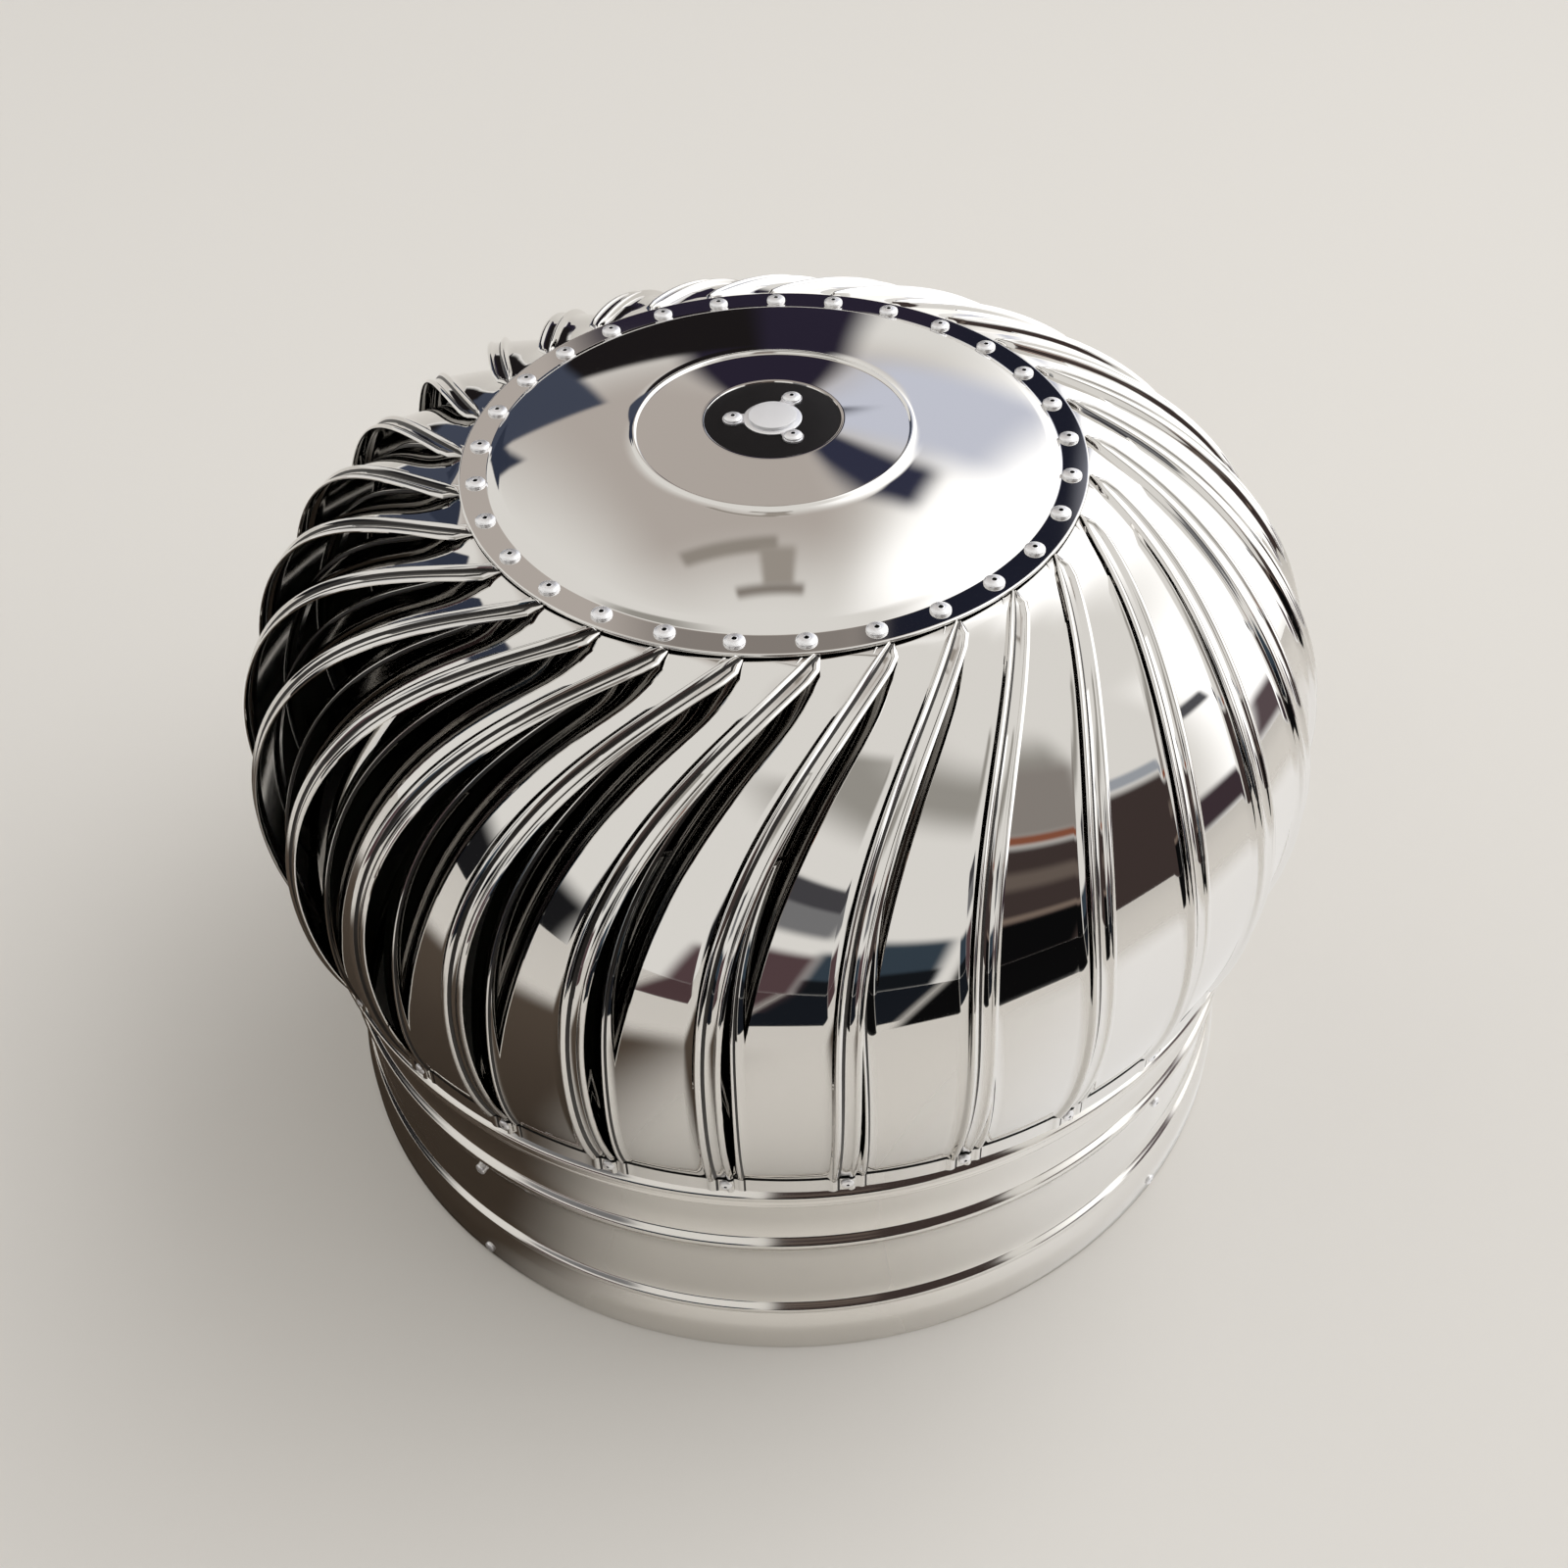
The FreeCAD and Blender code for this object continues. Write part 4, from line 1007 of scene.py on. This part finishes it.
def paint_room(scene):
    """The studio round the object, which lights it and which the metal mirrors."""
    world = bpy.data.worlds.new("studio_room")
    world.use_nodes = True
    scene.world = world
    tree = world.node_tree
    way = add_node(tree, "ShaderNodeTexCoord").outputs["Generated"]
    parts = add_node(tree, "ShaderNodeSeparateXYZ", inputs={0: way}).outputs
    elevation = math_step(tree, "DEGREES", math_step(tree, "ARCSINE", parts["Z"]))
    room = patches(tree, azimuth_of(tree, parts), elevation, ROOM, linear(ROOM_WALLS))[0]
    tree.links.new(room, tree.nodes["Background"].inputs["Color"])


def lay_disc(name, radius, height, finish):
    """A flat round sheet on the floor."""
    select([])
    bpy.ops.mesh.primitive_circle_add(vertices=96, radius=radius, fill_type="NGON",
                                      location=(0, 0, height))
    return settle(bpy.context.object, name, finish)


def lay_floor():
    """The plain floor, and cloths and patches of painted floor shadow and light on it that the metal
    mirrors and the camera doesn't see.
    """
    floor = lay_disc("studio_floor", FLOOR_RADIUS, 0, studio_paint)
    mirrored_floor = lay_disc("floor_cloths_and_painted_light", FLOOR_RADIUS - 0.1, 0.002, floor_cloths_and_painted_light)
    mirrored_floor.visible_camera = mirrored_floor.visible_diffuse = mirrored_floor.visible_shadow = False


def hang_backdrop():
    """A plain backdrop that curves up from the floor, behind the object in every view."""
    # Its lower end lies a millimetre above the floor
    profile = arc((FLOOR_RADIUS - BACKDROP_SWEEP, BACKDROP_SWEEP + 0.001), BACKDROP_SWEEP, -90, 0, 12)
    profile.append((FLOOR_RADIUS, BACKDROP_TOP))
    backdrop = turned("studio_backdrop", profile, 96, studio_paint, BACKDROP_TOP / 2)
    backdrop.visible_glossy = backdrop.visible_diffuse = backdrop.visible_shadow = False


def hang_lamp(scene):
    """A large soft lamp that looks at the globe's middle and that the metal doesn't mirror."""
    azimuth, elevation, distance, side, watts = LAMP
    turn, lift = math.radians(azimuth), math.radians(elevation)
    direction = Vector((math.cos(turn) * math.cos(lift), math.sin(turn) * math.cos(lift),
                        math.sin(lift)))
    light = bpy.data.lights.new("soft_lamp_1", "AREA")
    light.shape = "RECTANGLE"
    light.size = light.size_y = side
    light.energy = watts
    lamp = bpy.data.objects.new("soft_lamp_1", light)
    lamp.location = Vector((0, 0, LAMP_AIM)) + direction * distance
    lamp.rotation_euler = direction.to_track_quat("Z", "Y").to_euler()
    lamp.visible_glossy = False
    scene.collection.objects.link(lamp)


def place_camera(scene):
    # Worked out from the circles of the cap, the ring and the neck
    elevation = math.radians(44.24)
    roll = math.radians(-1.507)
    distance = 1.0175
    aim = Vector((0.0033, 0, 0.1573))
    data = bpy.data.cameras.new("camera")
    data.sensor_width = 36.0
    data.lens = 42.45
    data.shift_x = -0.0034
    camera = bpy.data.objects.new("camera", data)
    back = Vector((0, -math.cos(elevation), math.sin(elevation)))
    turn = Matrix.Rotation(math.radians(90) - elevation, 4, "X") @ Matrix.Rotation(roll, 4, "Z")
    camera.matrix_world = Matrix.Translation(aim + back * distance) @ turn
    scene.collection.objects.link(camera)
    scene.camera = camera


class VENT_OT_stage(bpy.types.Operator):
    """Sets the floor, its cloths and painted floor shadow and light, the backdrop, the room, the lamp
    and the camera
    """

    bl_idname = "vent.stage"
    bl_label = "Stage"

    def execute(self, context):
        context.scene.view_settings.view_transform = "Standard"
        lay_floor()
        hang_backdrop()
        paint_room(context.scene)
        hang_lamp(context.scene)
        place_camera(context.scene)
        return {"FINISHED"}


GROUPS = {"vent_vane": VaneSizes, "vent_rounds": RoundSizes, "vent_hub": HubSizes,
          "vent_rivets": RivetSizes, "vent_colours": FinishColours}
STEPS = (VENT_OT_vanes, VENT_OT_cap, VENT_OT_ring, VENT_OT_neck, VENT_OT_rivets, VENT_OT_hub,
         VENT_OT_inner_parts, VENT_OT_stage)


class VENT_PT_panel(bpy.types.Panel):
    """Lists the ventilator's sizes and colours and its steps"""

    bl_label = "Turbine ventilator"
    bl_idname = "VENT_PT_panel"
    bl_space_type = "VIEW_3D"
    bl_region_type = "UI"
    bl_category = "Ventilator"

    def draw(self, context):
        layout = self.layout
        for name in GROUPS:
            group = getattr(context.scene, name)
            box = layout.box()
            for size in group.__annotations__:
                box.prop(group, size)
        for step in STEPS:
            layout.operator(step.bl_idname)


CLASSES = tuple(GROUPS.values()) + STEPS + (VENT_PT_panel,)


def register():
    for one in CLASSES:
        bpy.utils.register_class(one)
    for name, group in GROUPS.items():
        setattr(bpy.types.Scene, name, PointerProperty(type=group))


def unregister():
    for name in GROUPS:
        delattr(bpy.types.Scene, name)
    for one in reversed(CLASSES):
        bpy.utils.unregister_class(one)


def main():
    register()
    bpy.ops.vent.vanes()
    bpy.ops.vent.cap()
    bpy.ops.vent.ring()
    bpy.ops.vent.neck()
    bpy.ops.vent.rivets()
    bpy.ops.vent.hub()
    bpy.ops.vent.inner_parts()
    bpy.ops.vent.stage()


if __name__ == "__main__":
    main()
